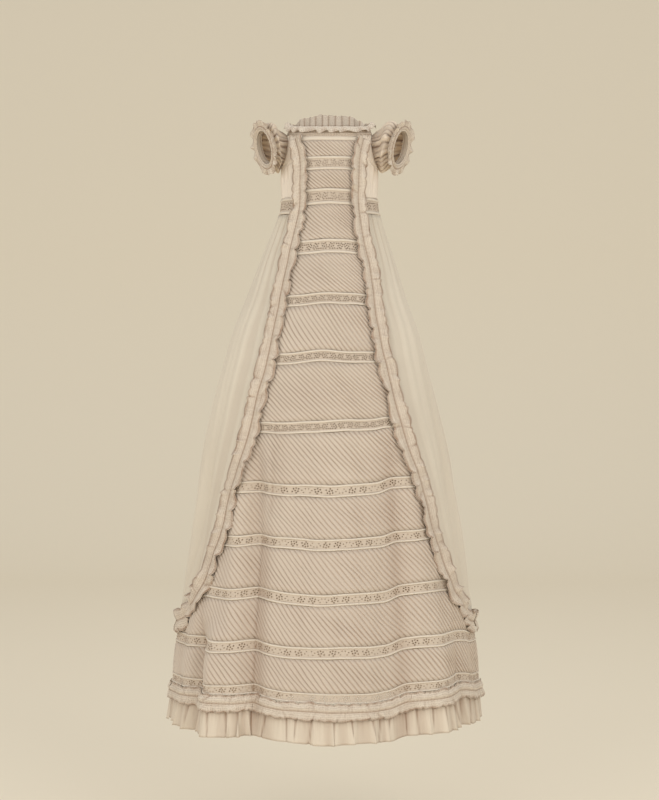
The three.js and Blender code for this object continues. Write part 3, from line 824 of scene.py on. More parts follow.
def settle(piece: bpy.types.Object) -> None:
    """Turns a piece with modifiers into the plain mesh that they make.

    Args:
        piece: The piece, in the scene.
    """
    evaluated = piece.evaluated_get(bpy.context.evaluated_depsgraph_get())
    plain = bpy.data.meshes.new_from_object(evaluated)
    piece.modifiers.clear()
    old, piece.data = piece.data, plain
    plain.name = piece.name
    bpy.data.meshes.remove(old)


def area_of(piece: bpy.types.Object, thick: float) -> float:
    """The area of one side of a piece's cloth, in square metres."""
    total = sum(face.area for face in piece.data.polygons)
    return total / 2 if thick else total


def length_for(piece: bpy.types.Object, width: float, thick: float = 0.0) -> float:
    """The length in millimetres of a cut of this width with the area of a piece's cloth."""
    return area_of(piece, thick) / MM / MM / width


@dataclass
class Wardrobe:
    """Gives each piece its body and hides the solids it stands for, as it is finished."""

    made: int = 0
    triangles: int = 0

    def keep(
        self, piece: bpy.types.Object, nodes: Sequence[str] = (),
        cut: tuple[float, float] | None = None, thick: float = 0.0,
    ) -> bpy.types.Object:
        """Rides and replaces a piece, works out the area of its cut, and counts its triangles.

        Args:
            piece: The finished piece.
            nodes: The solids it stands for.
            cut: The width and length of its cut in millimetres.
            thick: Its shell's thickness in millimetres.

        Returns:
            The same piece.
        """
        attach(piece, "root")
        if nodes:
            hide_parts(*nodes)
        if cut:
            width, length = cut[0] * MM, cut[1] * MM
            area = min(area_of(piece, thick), width * length)
        self.made += 1
        count = len(piece.data.loops) - 2 * len(piece.data.polygons)
        self.triangles += count
        log.info("%s: %d triangles", piece.name, count)
        return piece


KEEP = Wardrobe()


# ---- repeated detail


class Repeats:
    """Geometry node trees that set a small shape along lines on the cloth."""

    kinds = {
        "Geometry": "Geometry", "Shape": "Object", "Spacing": "Float", "Size": "Float",
        "Unevenness": "Float", "Seed": "Int", "Material": "Material",
    }
    unevenness = 0.2

    def __init__(self) -> None:
        """Makes the one tree that every row of repeats uses."""
        self.tree = bpy.data.node_groups.new("shapes_along_lines", "GeometryNodeTree")
        for name, kind in self.kinds.items():
            self.tree.interface.new_socket(name, in_out="INPUT", socket_type=f"NodeSocket{kind}")
        self.tree.interface.new_socket("Geometry", in_out="OUTPUT", socket_type="NodeSocketGeometry")
        net = Network(self.tree)
        given = net.add("NodeGroupInput").outputs
        curve = net.add("GeometryNodeMeshToCurve", {"Mesh": given["Geometry"]}).outputs["Curve"]
        spaced = {"Curve": curve, "Length": given["Spacing"]}
        spaced = net.add("GeometryNodeResampleCurve", spaced, mode="LENGTH")
        tangent = net.add("GeometryNodeInputTangent").outputs["Tangent"]
        turned = net.add("FunctionNodeAlignRotationToVector", {"Vector": tangent}, axis="X")
        shape = net.add("GeometryNodeObjectInfo", {"Object": given["Shape"]})
        least = net.math("SUBTRACT", 1.0, given["Unevenness"])
        uneven = net.add("FunctionNodeRandomValue", {"Min": least, "Max": 1.0, "Seed": given["Seed"]})
        placed = {
            "Points": spaced.outputs["Curve"], "Instance": shape.outputs["Geometry"],
            "Rotation": turned.outputs["Rotation"],
            "Scale": net.math("MULTIPLY", uneven.outputs["Value"], given["Size"]),
        }
        placed = net.add("GeometryNodeInstanceOnPoints", placed)
        real = net.add("GeometryNodeRealizeInstances", {"Geometry": placed.outputs["Instances"]})
        painted = {"Geometry": real.outputs["Geometry"], "Material": given["Material"]}
        painted = net.add("GeometryNodeSetMaterial", painted).outputs["Geometry"]
        net.add("NodeGroupOutput", {"Geometry": painted})

    @staticmethod
    def shape(name: str, size: tuple[float, float, float], rings: int, sides: int) -> bpy.types.Object:
        """A small rounded shape that the tree repeats.

        Args:
            name: Its name.
            size: Its length along X and its width and height, in millimetres.
            rings: How many rings of points it has.
            sides: How many points a ring has.

        Returns:
            The object, out of the scene.
        """
        turns = np.linspace(0, 2 * math.pi, sides, endpoint=False)
        along = -np.cos(np.linspace(0, math.pi, rings))
        around = np.sin(np.linspace(0, math.pi, rings)).clip(0.02)
        level, up = np.outer(around, np.cos(turns)), np.outer(around, np.sin(turns))
        grid = np.stack(np.broadcast_arrays(along[:, None], level, up), axis=-1) * np.array(size) / 2
        piece = one_sheet(name, THREAD, grid, grid[..., :2], ring=True)
        bpy.context.scene.collection.objects.unlink(piece)
        return piece

    def along(
        self, name: str, lines: Sequence[np.ndarray], shape: bpy.types.Object, spacing: float,
        finish: Finish, size: float = 1.0, seed: int = 3,
    ) -> bpy.types.Object:
        """Sets a shape along lines of points, as one plain piece.

        Args:
            name: The piece's name.
            lines: Rows of points, in millimetres.
            shape: What is repeated.
            spacing: How far apart, in millimetres.
            finish: What the repeats are made of.
            size: Their scale.
            seed: Which uneven sizes they take.

        Returns:
            The finished piece.
        """
        mesh = bpy.data.meshes.new(name)
        points = np.concatenate(lines) * MM
        edges, start = [], 0
        for line in lines:
            edges += [(start + n, start + n + 1) for n in range(len(line) - 1)]
            start += len(line)
        mesh.from_pydata(points.tolist(), edges, [])
        piece = bpy.data.objects.new(name, mesh)
        bpy.context.scene.collection.objects.link(piece)
        made = piece.modifiers.new("repeat", "NODES")
        made.node_group = self.tree
        values = {
            "Shape": shape, "Spacing": spacing * MM, "Size": size, "Unevenness": self.unevenness,
            "Seed": seed, "Material": finish.material(),
        }
        for item in self.tree.interface.items_tree:
            if item.in_out == "INPUT" and item.name in values:
                made[item.identifier] = values[item.name]
        settle(piece)
        piece.data.polygons.foreach_set("use_smooth", np.ones(len(piece.data.polygons), bool))
        return KEEP.keep(piece)


@dataclass(frozen=True)
class Eyelets:
    """A repeat of holes: how far along each lies, its share of the height, and its radius."""

    length: float
    holes: tuple[tuple[float, float, float], ...]


SPRIG = Eyelets(
    25.0,
    (
        (3.6, 0.34, 0.92), (5.2, 0.72, 0.98), (8.0, 0.48, 1.0), (9.0, 0.82, 0.9), (9.6, 0.17, 0.92),
        (12.0, 0.4, 0.98), (12.9, 0.72, 0.92), (17.6, 0.56, 0.7), (20.2, 0.26, 0.66), (22.6, 0.76, 0.66),
    ),
)
SPECKLE = Eyelets(
    12.6,
    (
        (1.6, 0.22, 0.84), (2.7, 0.8, 0.82), (3.9, 0.5, 0.82), (5.0, 0.2, 0.84), (6.0, 0.72, 0.84),
        (7.1, 0.42, 0.82), (8.3, 0.82, 0.82), (9.2, 0.19, 0.82), (10.1, 0.58, 0.82), (11.1, 0.35, 0.78),
    ),
)


class EyeletTile:
    """One repeat of the worked muslin, whose holes have raised rims."""

    sides = 8
    # the crease of each ring is painted shade, darkest at the hole's edge
    rim = ((0.0, 0.1, 0.85), (0.28, 0.5, 0.7), (0.5, 0.0, 0.2))  # share of the radius out, rise and crease
    # darkens the whole field between the holes evenly
    field_darkening = 0.15

    def __init__(self, height: float, eyelets: Eyelets) -> None:
        """Cuts the holes out of one repeat.

        Args:
            height: The height of the worked field, in millimetres.
            eyelets: Where the holes lie.
        """
        self.height, self.length = height, eyelets.length
        self.holes = [(u, v * height, r) for u, v, r in eyelets.holes]
        self.points, self.raised, self.painted_shades, self.faces = self._cut()

    def _cut(self) -> tuple[np.ndarray, np.ndarray, np.ndarray, np.ndarray]:
        """Fills the field round the holes with faces.

        Returns:
            The flat points, how far each is raised, its crease, and the faces.
        """
        turns = np.linspace(0, 2 * math.pi, self.sides, endpoint=False)
        outer = 1 + self.rim[-1][0]
        border = [(u, v * self.height) for u in (0.0, self.length) for v in np.linspace(0, 1, 6)]
        border += [(u, v) for v in (0.0, self.height) for u in np.linspace(0, self.length, 9)[1:-1]]
        flat = [Vector(p) for p in border]
        edges = []
        for u, v, r in self.holes:
            first = len(flat)
            flat += [Vector((u + r * outer * math.cos(t), v + r * outer * math.sin(t))) for t in turns]
            edges += [(first + n, first + (n + 1) % self.sides) for n in range(self.sides)]
        cut = delaunay_2d_cdt(flat, edges, [], 0, 1e-4)
        points = [tuple(p) for p in cut[0]]
        raised, painted_shades = [0.0] * len(points), [self.field_darkening] * len(points)
        inside = lambda x, y: any(math.hypot(x - u, y - v) < r * outer * 0.9 for u, v, r in self.holes)
        faces = []
        for face in cut[2]:
            x, y = (sum(points[n][k] for n in face) / 3 for k in (0, 1))
            if not inside(x, y):
                faces.append(tuple(face))
        for u, v, r in self.holes:
            rings = []
            for away, up, crease in self.rim:
                rings.append(range(len(points), len(points) + self.sides))
                reach = r * (1 + away)
                points += [(u + reach * math.cos(t), v + reach * math.sin(t)) for t in turns]
                raised += [up] * self.sides
                painted_shades += [crease] * self.sides
            for near, far in zip(rings, rings[1:]):
                for n in range(self.sides):
                    m = (n + 1) % self.sides
                    faces += [(near[n], far[n], far[m]), (near[n], far[m], near[m])]
        return np.array(points), np.array(raised), np.array(painted_shades), np.array(faces)


# ---- flat bands


class TuckedStrip:
    """A strip of narrow diagonal tucks between two seams."""

    # across one tuck: the share of its width, its rise and its crease, which is painted shade, darkest in
    # the valley between tucks
    profile = (
        (0.0, 0.0, 1.0), (0.09, 0.62, 0.55), (0.20, 0.95, 0.08), (0.40, 1.0, 0.0), (0.62, 0.80, 0.0),
        (0.82, 0.36, 0.12), (0.93, 0.10, 0.6),
    )
    rise = 2.2
    rows = 8

    def __init__(self, top: float, bottom: float, edges: Edges, pitch: float, slant: float) -> None:
        """Measures the strip.

        Args:
            top: Its upper seam.
            bottom: Its lower seam.
            edges: Where it starts and ends at a height.
            pitch: The width of a tuck.
            slant: How far a tuck leans over its height.
        """
        self.high, self.low = top - GAP, bottom + GAP
        self.edges, self.pitch, self.slant = edges, pitch, slant
        middle = (self.high + self.low) / 2
        limits = [float(v) for z in (self.high, self.low) for v in edges(np.array(z))]
        self.angles, self.lengths = BODY.evenly(min(limits) - 1, max(limits) + 1, middle)

    def _length(self, angle: float) -> float:
        """The length of cloth up to an angle."""
        return float(np.interp(angle, self.angles, self.lengths))

    def build(self, name: str) -> bpy.types.Object:
        """Makes the strip.

        Args:
            name: The piece's name.

        Returns:
            The object, in the scene.
        """
        ends = [[self._length(float(v)) for v in self.edges(np.array(z))] for z in (self.low, self.high)]
        (low_left, low_right), (high_left, high_right) = ends
        run = self.slant * (self.high - self.low)
        flared = low_right - run > high_right
        tip = (low_right, self.low) if flared else (high_right, self.high)
        first_low = high_left + run
        last_low = high_right + run if flared else low_right
        last_high = high_right if flared else low_right - run
        spans = (
            ((low_left, self.low), (first_low, self.low), (low_left, self.low), (high_left, self.high)),
            ((first_low, self.low), (last_low, self.low), (high_left, self.high), (last_high, self.high)),
            ((last_low, self.low), tip, (last_high, self.high), tip),
        )
        lows, highs, rises, painted_shades = [], [], [], []
        for low_from, low_to, high_from, high_to in spans:
            length = max(low_to[0] - low_from[0], high_to[0] - high_from[0])
            tucks = max(1, round(length / self.pitch))
            for n in range(tucks):
                for part, up, crease in self.profile:
                    t = (n + part) / tucks
                    lows.append([mix(a, b, t) for a, b in zip(low_from, low_to)])
                    highs.append([mix(a, b, t) for a, b in zip(high_from, high_to)])
                    rises.append(up * self.rise)
                    painted_shades.append(crease)
        lows.append(list(tip))
        highs.append(list(tip))
        rises.append(0.0)
        painted_shades.append(0.0)
        lows, highs, rises = np.array(lows), np.array(highs), np.array(rises)
        t = np.linspace(0, 1, self.rows + 1)[:, None, None]
        places = mix(lows[None], highs[None], t)
        length, z = places[..., 0], places[..., 1]
        share = (z - self.low) / (self.high - self.low)
        ends_flat = np.sin(np.pi * np.clip(share, 0.02, 0.98)) ** 0.25
        inside = np.minimum(1, np.minimum(length - self.lengths[0], self.lengths[-1] - length) / 12)
        wander = 1.25 * drift(length + 2 * z, 5, 23) * ends_flat * inside
        angle = np.interp(length + wander, self.lengths, self.angles)
        uneven = 0.86 + 0.14 * drift(length * 0.9 + z * 0.4, 11, 17)
        points = BODY.point(angle, z, SHELL + rises * uneven * ends_flat)
        flat = pairs(length + wander, z)
        # painted shade in the valleys between tucks, made uneven along the strip, with the painted shade of
        # the folds
        painted_darkness = np.array(painted_shades) * (0.68 + 0.24 * drift(length + 3 * z, 13, 40))
        return one_sheet(name, TUCKED_SHADED, points, flat, GATHERED, crease=painted_darkness + BODY.painted_fold_shade(angle, z))


class Insertion:
    """A band of worked muslin with a piped edge above and below."""

    cord_share = 0.2
    cord_rise = 2.0

    def __init__(self, top: float, bottom: float, edges: Edges, eyelets: Eyelets) -> None:
        """Measures the band and cuts its repeat.

        Args:
            top: Its upper seam.
            bottom: Its lower seam.
            edges: Where it starts and ends at a height.
            eyelets: The holes of a repeat.
        """
        self.high, self.low = top - GAP, bottom + GAP
        self.edges = edges
        self.cord = self.cord_share * (top - bottom)
        self.tile = EyeletTile(self.high - self.low - 2 * self.cord, eyelets)

    def build(self, name: str, finish: Finish, piping: ClothMesh) -> tuple[bpy.types.Object, float]:
        """Makes the band.

        Args:
            name: The piece's name.
            finish: What the worked muslin is made of.
            piping: What its two piped edges are added to.

        Returns:
            The object, in the scene, and the band's length in millimetres.
        """
        mesh = ClothMesh()
        length = self._add_field(mesh)
        lay_cord(piping, self.low, self.low + self.cord, self.edges, self.cord_rise)
        lay_cord(piping, self.high - self.cord, self.high, self.edges, self.cord_rise)
        return mesh.build(name, finish), length

    def _add_field(self, mesh: ClothMesh) -> float:
        """Adds the worked muslin between the piped edges.

        Args:
            mesh: What it is added to.

        Returns:
            The band's length in millimetres.
        """
        middle = (self.high + self.low) / 2
        left, right = (float(v) for v in self.edges(np.array(middle)))
        angles, lengths = BODY.evenly(left, right, middle)
        count = max(1, round(lengths[-1] / self.tile.length))
        for n in range(count):
            about, over = n % 2 == 1, n % 5 in (1, 2)
            share = self.tile.points[:, 0] / self.tile.length
            along = (n + (1 - share if about else share)) / count
            height = self.tile.points[:, 1]
            z = self.low + self.cord + (self.tile.height - height if over else height)
            spread = np.interp(along * lengths[-1], lengths, angles)
            edge_left, edge_right = self.edges(z)
            angle = edge_left + (spread - left) / (right - left) * (edge_right - edge_left)
            points = BODY.point(angle, z, SHELL + self.tile.raised)
            flat = pairs(along * lengths[-1], z)
            faces = self.tile.faces[:, ::-1] if about != over else self.tile.faces
            # painted shade round the holes, with the painted shade of the folds
            mesh.add(points, flat, faces, self.tile.painted_shades + BODY.painted_fold_shade(angle, z))
        return float(lengths[-1])


def lay_cord(mesh: ClothMesh, low: float, high: float, edges: Edges, rise: float) -> None:
    """Adds a rounded binding between two heights.

    Args:
        mesh: What it is added to.
        low: Its lower edge.
        high: Its upper edge.
        edges: Where it starts and ends at a height.
        rise: How far it stands out.
    """
    middle = (low + high) / 2
    left, right = (float(v) for v in edges(np.array(middle)))
    angles, lengths = BODY.evenly(left, right, middle)
    along = np.linspace(0, lengths[-1], max(8, int(lengths[-1] / 2.8)))
    across = np.linspace(0, 1, 6)[:, None]
    angle = np.interp(along, lengths, angles)[None] + 0 * across
    z = mix(low, high, across) + 0.35 * drift(along, 17, 21)
    bulge = rise * np.sin(np.pi * across) ** 0.6 * (1 + 0.08 * drift(along, 9, 5))
    points = BODY.point(angle, z, SHELL - 0.1 + bulge)
    # painted shade along both edges of the cord, with the painted shade of the folds
    painted_darkness = 0.6 * np.abs(2 * across - 1) ** 8 + 0.6 * BODY.painted_fold_shade(angle, z)
    mesh.grid(points, pairs(along[None], z), crease=painted_darkness)


@dataclass
class FrontPanel:
    """The tucked strips and insertions down the front, from neck to border."""

    speckled: int = 6  # how many insertions, from the top, have the small pattern

    def edges(self, z: np.ndarray) -> tuple[np.ndarray, np.ndarray]:
        """The panel's left and right edges at a height."""
        limit = seam(z) - 0.05
        return -limit, limit

    def build(self) -> None:
        """Makes the strips, the worked bands and their piping."""
        above = [SIZE.tuck_top] + [band.bottom for band in BANDS]
        piping = ClothMesh()
        lay_cord(piping, SIZE.tuck_top + GAP, SIZE.binding_top, self.edges, 1.5)
        for n, band in enumerate(BANDS[:-1]):
            name = f"front_tucks_{n + 1:02d}"
            strip = TuckedStrip(above[n], band.top, self.edges, band.pitch, band.slant)
            self._declare(strip.build(name), name, "tucked", (above[n] + band.top) / 2, GATHERED)
        for n, band in enumerate(BANDS[:-2]):
            name = f"front_insertion_{n + 1:02d}"
            small = n < self.speckled
            insertion = Insertion(band.top, band.bottom, self.edges, SPECKLE if small else SPRIG)
            piece, _ = insertion.build(name, EMBROIDERY if small else WORKED, piping)
            self._declare(piece, name, "embroidery", (band.top + band.bottom) / 2, 0.0)
        KEEP.keep(piping.build("front_piping", PIPING))

    def _declare(self, piece: bpy.types.Object, name: str, slot: str, middle: float, thick: float) -> None:
        """Works out a piece's cut, as wide as the panel at the height of its middle, and keeps the piece."""
        left, right = (float(v) for v in self.edges(np.array(middle)))
        width = BODY.evenly(left, right, middle)[1][-1]
        cut = (width, length_for(piece, width, thick))
        KEEP.keep(piece, [name], cut, thick)


@dataclass
class Border:
    """The two insertions and the tucked strip round the hem, in halves."""

    least: float = 10.2  # the least height of an insertion's cut

    def build(self) -> None:
        """Makes both halves and their piping."""
        upper, lower = BANDS[-2:]
        for half, start, end in (("front", -89.9, 89.9), ("back", 90.1, 269.9)):
            edges = lambda z, a=start, b=end: (a + 0 * z, b + 0 * z)
            piping = ClothMesh()
            for place, band in (("upper", upper), ("lower", lower)):
                insertion = Insertion(band.top, band.bottom, edges, SPRIG)
                name = f"border_insertion_{place}_{half}"
                piece, length = insertion.build(name, WORKED, piping)
                cut = (length, max(self.least, length_for(piece, length)))
                KEEP.keep(piece, [name], cut, 0)
            KEEP.keep(piping.build(f"border_piping_{half}", PIPING))
            strip = TuckedStrip(upper.bottom, lower.top, edges, lower.pitch, lower.slant)
            name = f"border_tucks_{half}"
            piece = strip.build(name)
            cut = (strip.lengths[-1], length_for(piece, strip.lengths[-1], GATHERED))
            KEEP.keep(piece, [name], cut, GATHERED)


# ---- plain panels


def panel_grid(
    z: np.ndarray,
    edges: Edges,
    columns: int,
    out: Callable[[np.ndarray, np.ndarray, np.ndarray], np.ndarray],
    top: Callable[[np.ndarray], np.ndarray] | None = None,
    easing: float = 30,
) -> tuple[np.ndarray, np.ndarray, np.ndarray]:
    """Places on a panel, its points and their places on the flat cloth.

    Args:
        z: Heights of the rows, from low to high.
        edges: The panel's edges at a height.
        columns: How many columns it has.
        out: How far the cloth stands off at an angle, a height and a share across.
        top: A line that the top row follows.
        easing: The height over which the rows bend to follow that line.

    Returns:
        The points, their places on the flat cloth, and their angles.
    """
    share = np.linspace(0, 1, columns + 1)[None]
    left, right = edges(z[:, None])
    angle = mix(left, right, share)
    height = z[:, None] + 0 * share
    if top is not None:
        reach = smooth((height - (z[-1] - easing)) / easing)
        height = height + reach * (top(np.abs(angle)) - z[-1])
    points = BODY.point(angle, height, SHELL + out(angle, height, share))
    return points, pairs(run_along(points[len(z) // 2])[None], height), angle


@dataclass
class Skirt:
    """The plain skirt of fine muslin that is gathered to the waist at the sides and back."""

    gathers: int = 30
    columns: int = 200

    def build(self) -> None:
        """Makes both halves."""
        for side, sign in (("left", 1), ("right", -1)):
            self._half(side, sign)

    @staticmethod
    def _fall(sign: int, share: np.ndarray, height: np.ndarray) -> np.ndarray:
        """The fine folds that fall down a half."""
        lean = share * 100 + 1.5 * drift(height, 37 + sign, 160)
        soft = 2.2 * drift(lean, 41 + sign, 3.3) + 2.6 * drift(lean, 43, 7.5)
        return soft * smooth((-150 - height) / 200) * (1 - 0.85 * bell(height, SIZE.turn, 26))

    def _gather(self, sign: int, share: np.ndarray, height: np.ndarray) -> np.ndarray:
        """The gathers below the waist."""
        phase = 2 * math.pi * self.gathers * (share + 0.006 * drift(share * 100, 21 + sign, 4))
        near = np.exp(-((SIZE.waist_bottom - height) / 44))
        longer = np.sin(phase * 0.5 + 1.3 * drift(height, 31, 90))
        return 1.4 * near * np.sin(phase) + 1.0 * smooth((height + 360) / 210) * longer

    def _half(self, side: str, sign: int) -> None:
        """Makes a half.

        Args:
            side: Which side.
            sign: 1 for the left and -1 for the right.
        """
        low = np.linspace(SIZE.skirt_bottom, -730, 11)
        z = np.concatenate([low, np.linspace(-724, SIZE.waist_bottom - 0.3, 72)])
        edges = lambda z: (sign * (seam(z) + 0.15), sign * (180 - 0.03) + 0 * z)

        def out(angle: np.ndarray, height: np.ndarray, share: np.ndarray) -> np.ndarray:
            """How far the skirt stands off the body."""
            total = self._gather(sign, share, height) + self._fall(sign, share, height)
            return total * smooth(share * 10) * smooth((1 - share) * 40)

        points, flat, angle = panel_grid(z, edges, self.columns, out)
        share, height = np.linspace(0, 1, self.columns + 1)[None], z[:, None]
        # painted shade in the hollows of the falling folds and gathers, with the painted shade of the body's
        # folds and beside the robings
        painted_darkness = -0.09 * self._fall(sign, share, height) - 0.2 * self._gather(sign, share, height)
        painted_darkness = painted_darkness.clip(0, 0.5) + BODY.painted_fold_shade(angle, height)
        name = f"skirt_{side}"
        piece = one_sheet(name, SHEER, points, flat, PLAIN, turned=sign < 0, crease=painted_darkness)
        wide = np.linalg.norm(np.diff(points, axis=1), axis=2).sum(axis=1).max()
        down = np.linalg.norm(np.diff(points, axis=0), axis=2).sum(axis=0).max()
        cut = (float(wide), float(down))
        KEEP.keep(piece, [name], cut, PLAIN)


@dataclass
class Bodice:
    """Bodice fronts and backs, the lap and buttons of the back opening, and the waist insertion."""

    # where sharp creases stand on a front at the waist, as a share across it, and how far they lean
    creases_left: tuple = ((0.2, 0.10), (0.4, -0.14), (0.62, 0.08))
    creases_right: tuple = ((0.24, -0.08), (0.42, 0.12), (0.66, -0.06))
    front_columns: int = 44
    front_width: float = 52  # of a front's cut
    back_width: float = 118
    button_heights: tuple = (-14, -54, -94)
    # a button's outline: the radius and the height above the cloth
    button: tuple = ((0.0, 1.15), (1.2, 1.2), (2.2, 1.5), (3.4, 1.7), (4.2, 1.3), (4.5, 0.6), (4.4, 0.0))

    def build(self) -> None:
        """Makes each piece of the bodice."""
        for side, sign in (("left", 1), ("right", -1)):
            self._front(side, sign)
            self._back(side, sign)
            self._waist(side, sign)
        self._buttons()

    @staticmethod
    def _casing(angle: np.ndarray) -> np.ndarray:
        """The height of the seam below the neck's casing."""
        return neckline(angle) - SIZE.casing - 0.3

    def _folds(self, sign: int, share: np.ndarray, height: np.ndarray) -> np.ndarray:
        """The loose folds of a front.

        Args:
            sign: 1 for the left and -1 for the right.
            share: Places across the front, from 0 to 1.
            height: Heights.

        Returns:
            Millimetres out, for each place and height.
        """
        lean = share * 13 + 1.6 * drift(height, 51 + sign, 45)
        up = (height - SIZE.waist_top) / 90
        lines = self.creases_left if sign > 0 else self.creases_right
        sharp = sum(bell(share - leans * up, at, 0.02) for at, leans in lines)
        return 1.5 * drift(lean, 57 + sign, 2.1) + 0.7 * np.sin(lean * 2.2) - 1.1 * sharp

    def _front(self, side: str, sign: int) -> None:
        """Makes a front.

        Args:
            side: Which side.
            sign: 1 for the left and -1 for the right.
        """
        z = np.linspace(SIZE.waist_top + GAP, -5, 42)
        edges = lambda z: (sign * (seam(z) + 0.3), sign * (90 - np.maximum(0.12, arm_reach(z))))

        def out(angle: np.ndarray, height: np.ndarray, share: np.ndarray) -> np.ndarray:
            """How far the front stands off the body."""
            ends = np.sin(np.pi * np.clip(share, 0, 1)) ** 0.5
            waist = np.exp((SIZE.waist_top - height) / 16)
            return ends * (self._folds(sign, share, height) + 0.5 * waist * np.sin(share * 60))

        points, flat, _ = panel_grid(z, edges, self.front_columns, out, self._casing, 14)
        share = np.linspace(0, 1, self.front_columns + 1)[None]
        # painted shade: a little over the whole front, more in the hollows of its folds and towards the
        # robing
        hollow = (-self._folds(sign, share, z[:, None])).clip(0)
        painted_darkness = 0.06 + (0.42 * hollow + 0.16 * hollow**3).clip(0, 0.7) + 0.12 * (1 - share) ** 4
        name = f"bodice_front_{side}"
        piece = one_sheet(name, CAMBRIC, points, flat, PLAIN, turned=sign < 0, crease=painted_darkness)
        self._declare(piece, name, side, self.front_width)

    def _back(self, side: str, sign: int) -> None:
        """Makes a back. The right one laps over the left one.

        Args:
            side: Which side.
            sign: 1 for the left and -1 for the right.
        """
        lapped = sign < 0
        z = np.linspace(SIZE.waist_top + GAP, -1.5, 44)
        centre = 180 + SIZE.lap if lapped else 180
        edges = lambda z: (
            sign * (90 + np.maximum(0.12, arm_reach(np.minimum(z, -1.6)))),
            sign * (centre - 0.1) + 0 * z,
        )

        def out(angle: np.ndarray, height: np.ndarray, share: np.ndarray) -> np.ndarray:
            """How far the back stands off the body, with its lap."""
            away = np.abs(angle)
            over = SIZE.lap_out * smooth((away - 172) / 5) if lapped else 0.0
            ends = (1 - smooth((away - 160) / 10)) * np.sin(np.pi * np.clip(share, 0, 1)) ** 0.4
            waist = np.exp((SIZE.waist_top - height) / 16)
            soft = 0.7 * np.sin(share * 41 + 1.2 * drift(height, 61, 30))
            return over + ends * (soft + 0.5 * waist * np.sin(share * 95))

        points, flat, _ = panel_grid(z, edges, 84, out, self._casing, 16)
        name = f"bodice_back_{side}"
        piece = one_sheet(name, CAMBRIC, points, flat, PLAIN, turned=sign < 0)
        self._declare(piece, name, side, self.back_width)

    @staticmethod
    def _waist(side: str, sign: int) -> None:
        """Makes the insertion round a side of the waist, with its piping.

        Args:
            side: Which side.
            sign: 1 for the left and -1 for the right.
        """
        edges = lambda z: tuple(sorted((sign * (seam(z) + 0.3), sign * (180 - 0.1) + 0 * z), key=np.min))
        band = Insertion(SIZE.waist_top, SIZE.waist_bottom, edges, SPECKLE)
        piping = ClothMesh()
        name = f"waist_insertion_{side}"
        piece, length = band.build(name, EMBROIDERY, piping)
        cut = (length, length_for(piece, length))
        KEEP.keep(piece, [name], cut, 0)
        KEEP.keep(piping.build(f"waist_piping_{side}", PIPING))

    def _declare(self, piece: bpy.types.Object, name: str, side: str, width: float) -> None:
        """Works out the cut of a front or a back and keeps the piece."""
        cut = (width, length_for(piece, width, PLAIN) * 1.02)
        KEEP.keep(piece, [name], cut, PLAIN)

    def _buttons(self) -> None:
        """Makes the thread-covered buttons of the back opening."""
        t = np.linspace(0, 2 * math.pi, 32, endpoint=False)
        rings = [
            np.stack([r * np.cos(t), up + 0.12 * np.sin(8 * t) * (r > 1), r * np.sin(t)], axis=-1)
            for r, up in self.button
        ]
        for n, z in enumerate(self.button_heights):
            points = BODY.point(180 - SIZE.lap / 2, z, SIZE.lap_out + SHELL + 0.5) + np.array(rings)
            name = f"back_button_{n + 1}"
            KEEP.keep(one_sheet(name, THREAD, points, points[..., [0, 2]], ring=True), [name])


# ---- frills


@dataclass(frozen=True)
class FrillCut:
    """The sizes of a double frill, in millimetres."""

    half_width: float
    widening: float
    rise: float
    wave: float
    length: float
    clear: float
    leaf: float  # how long the uneven scallops of its edges are
    notch: float  # and how deep
    seed: int


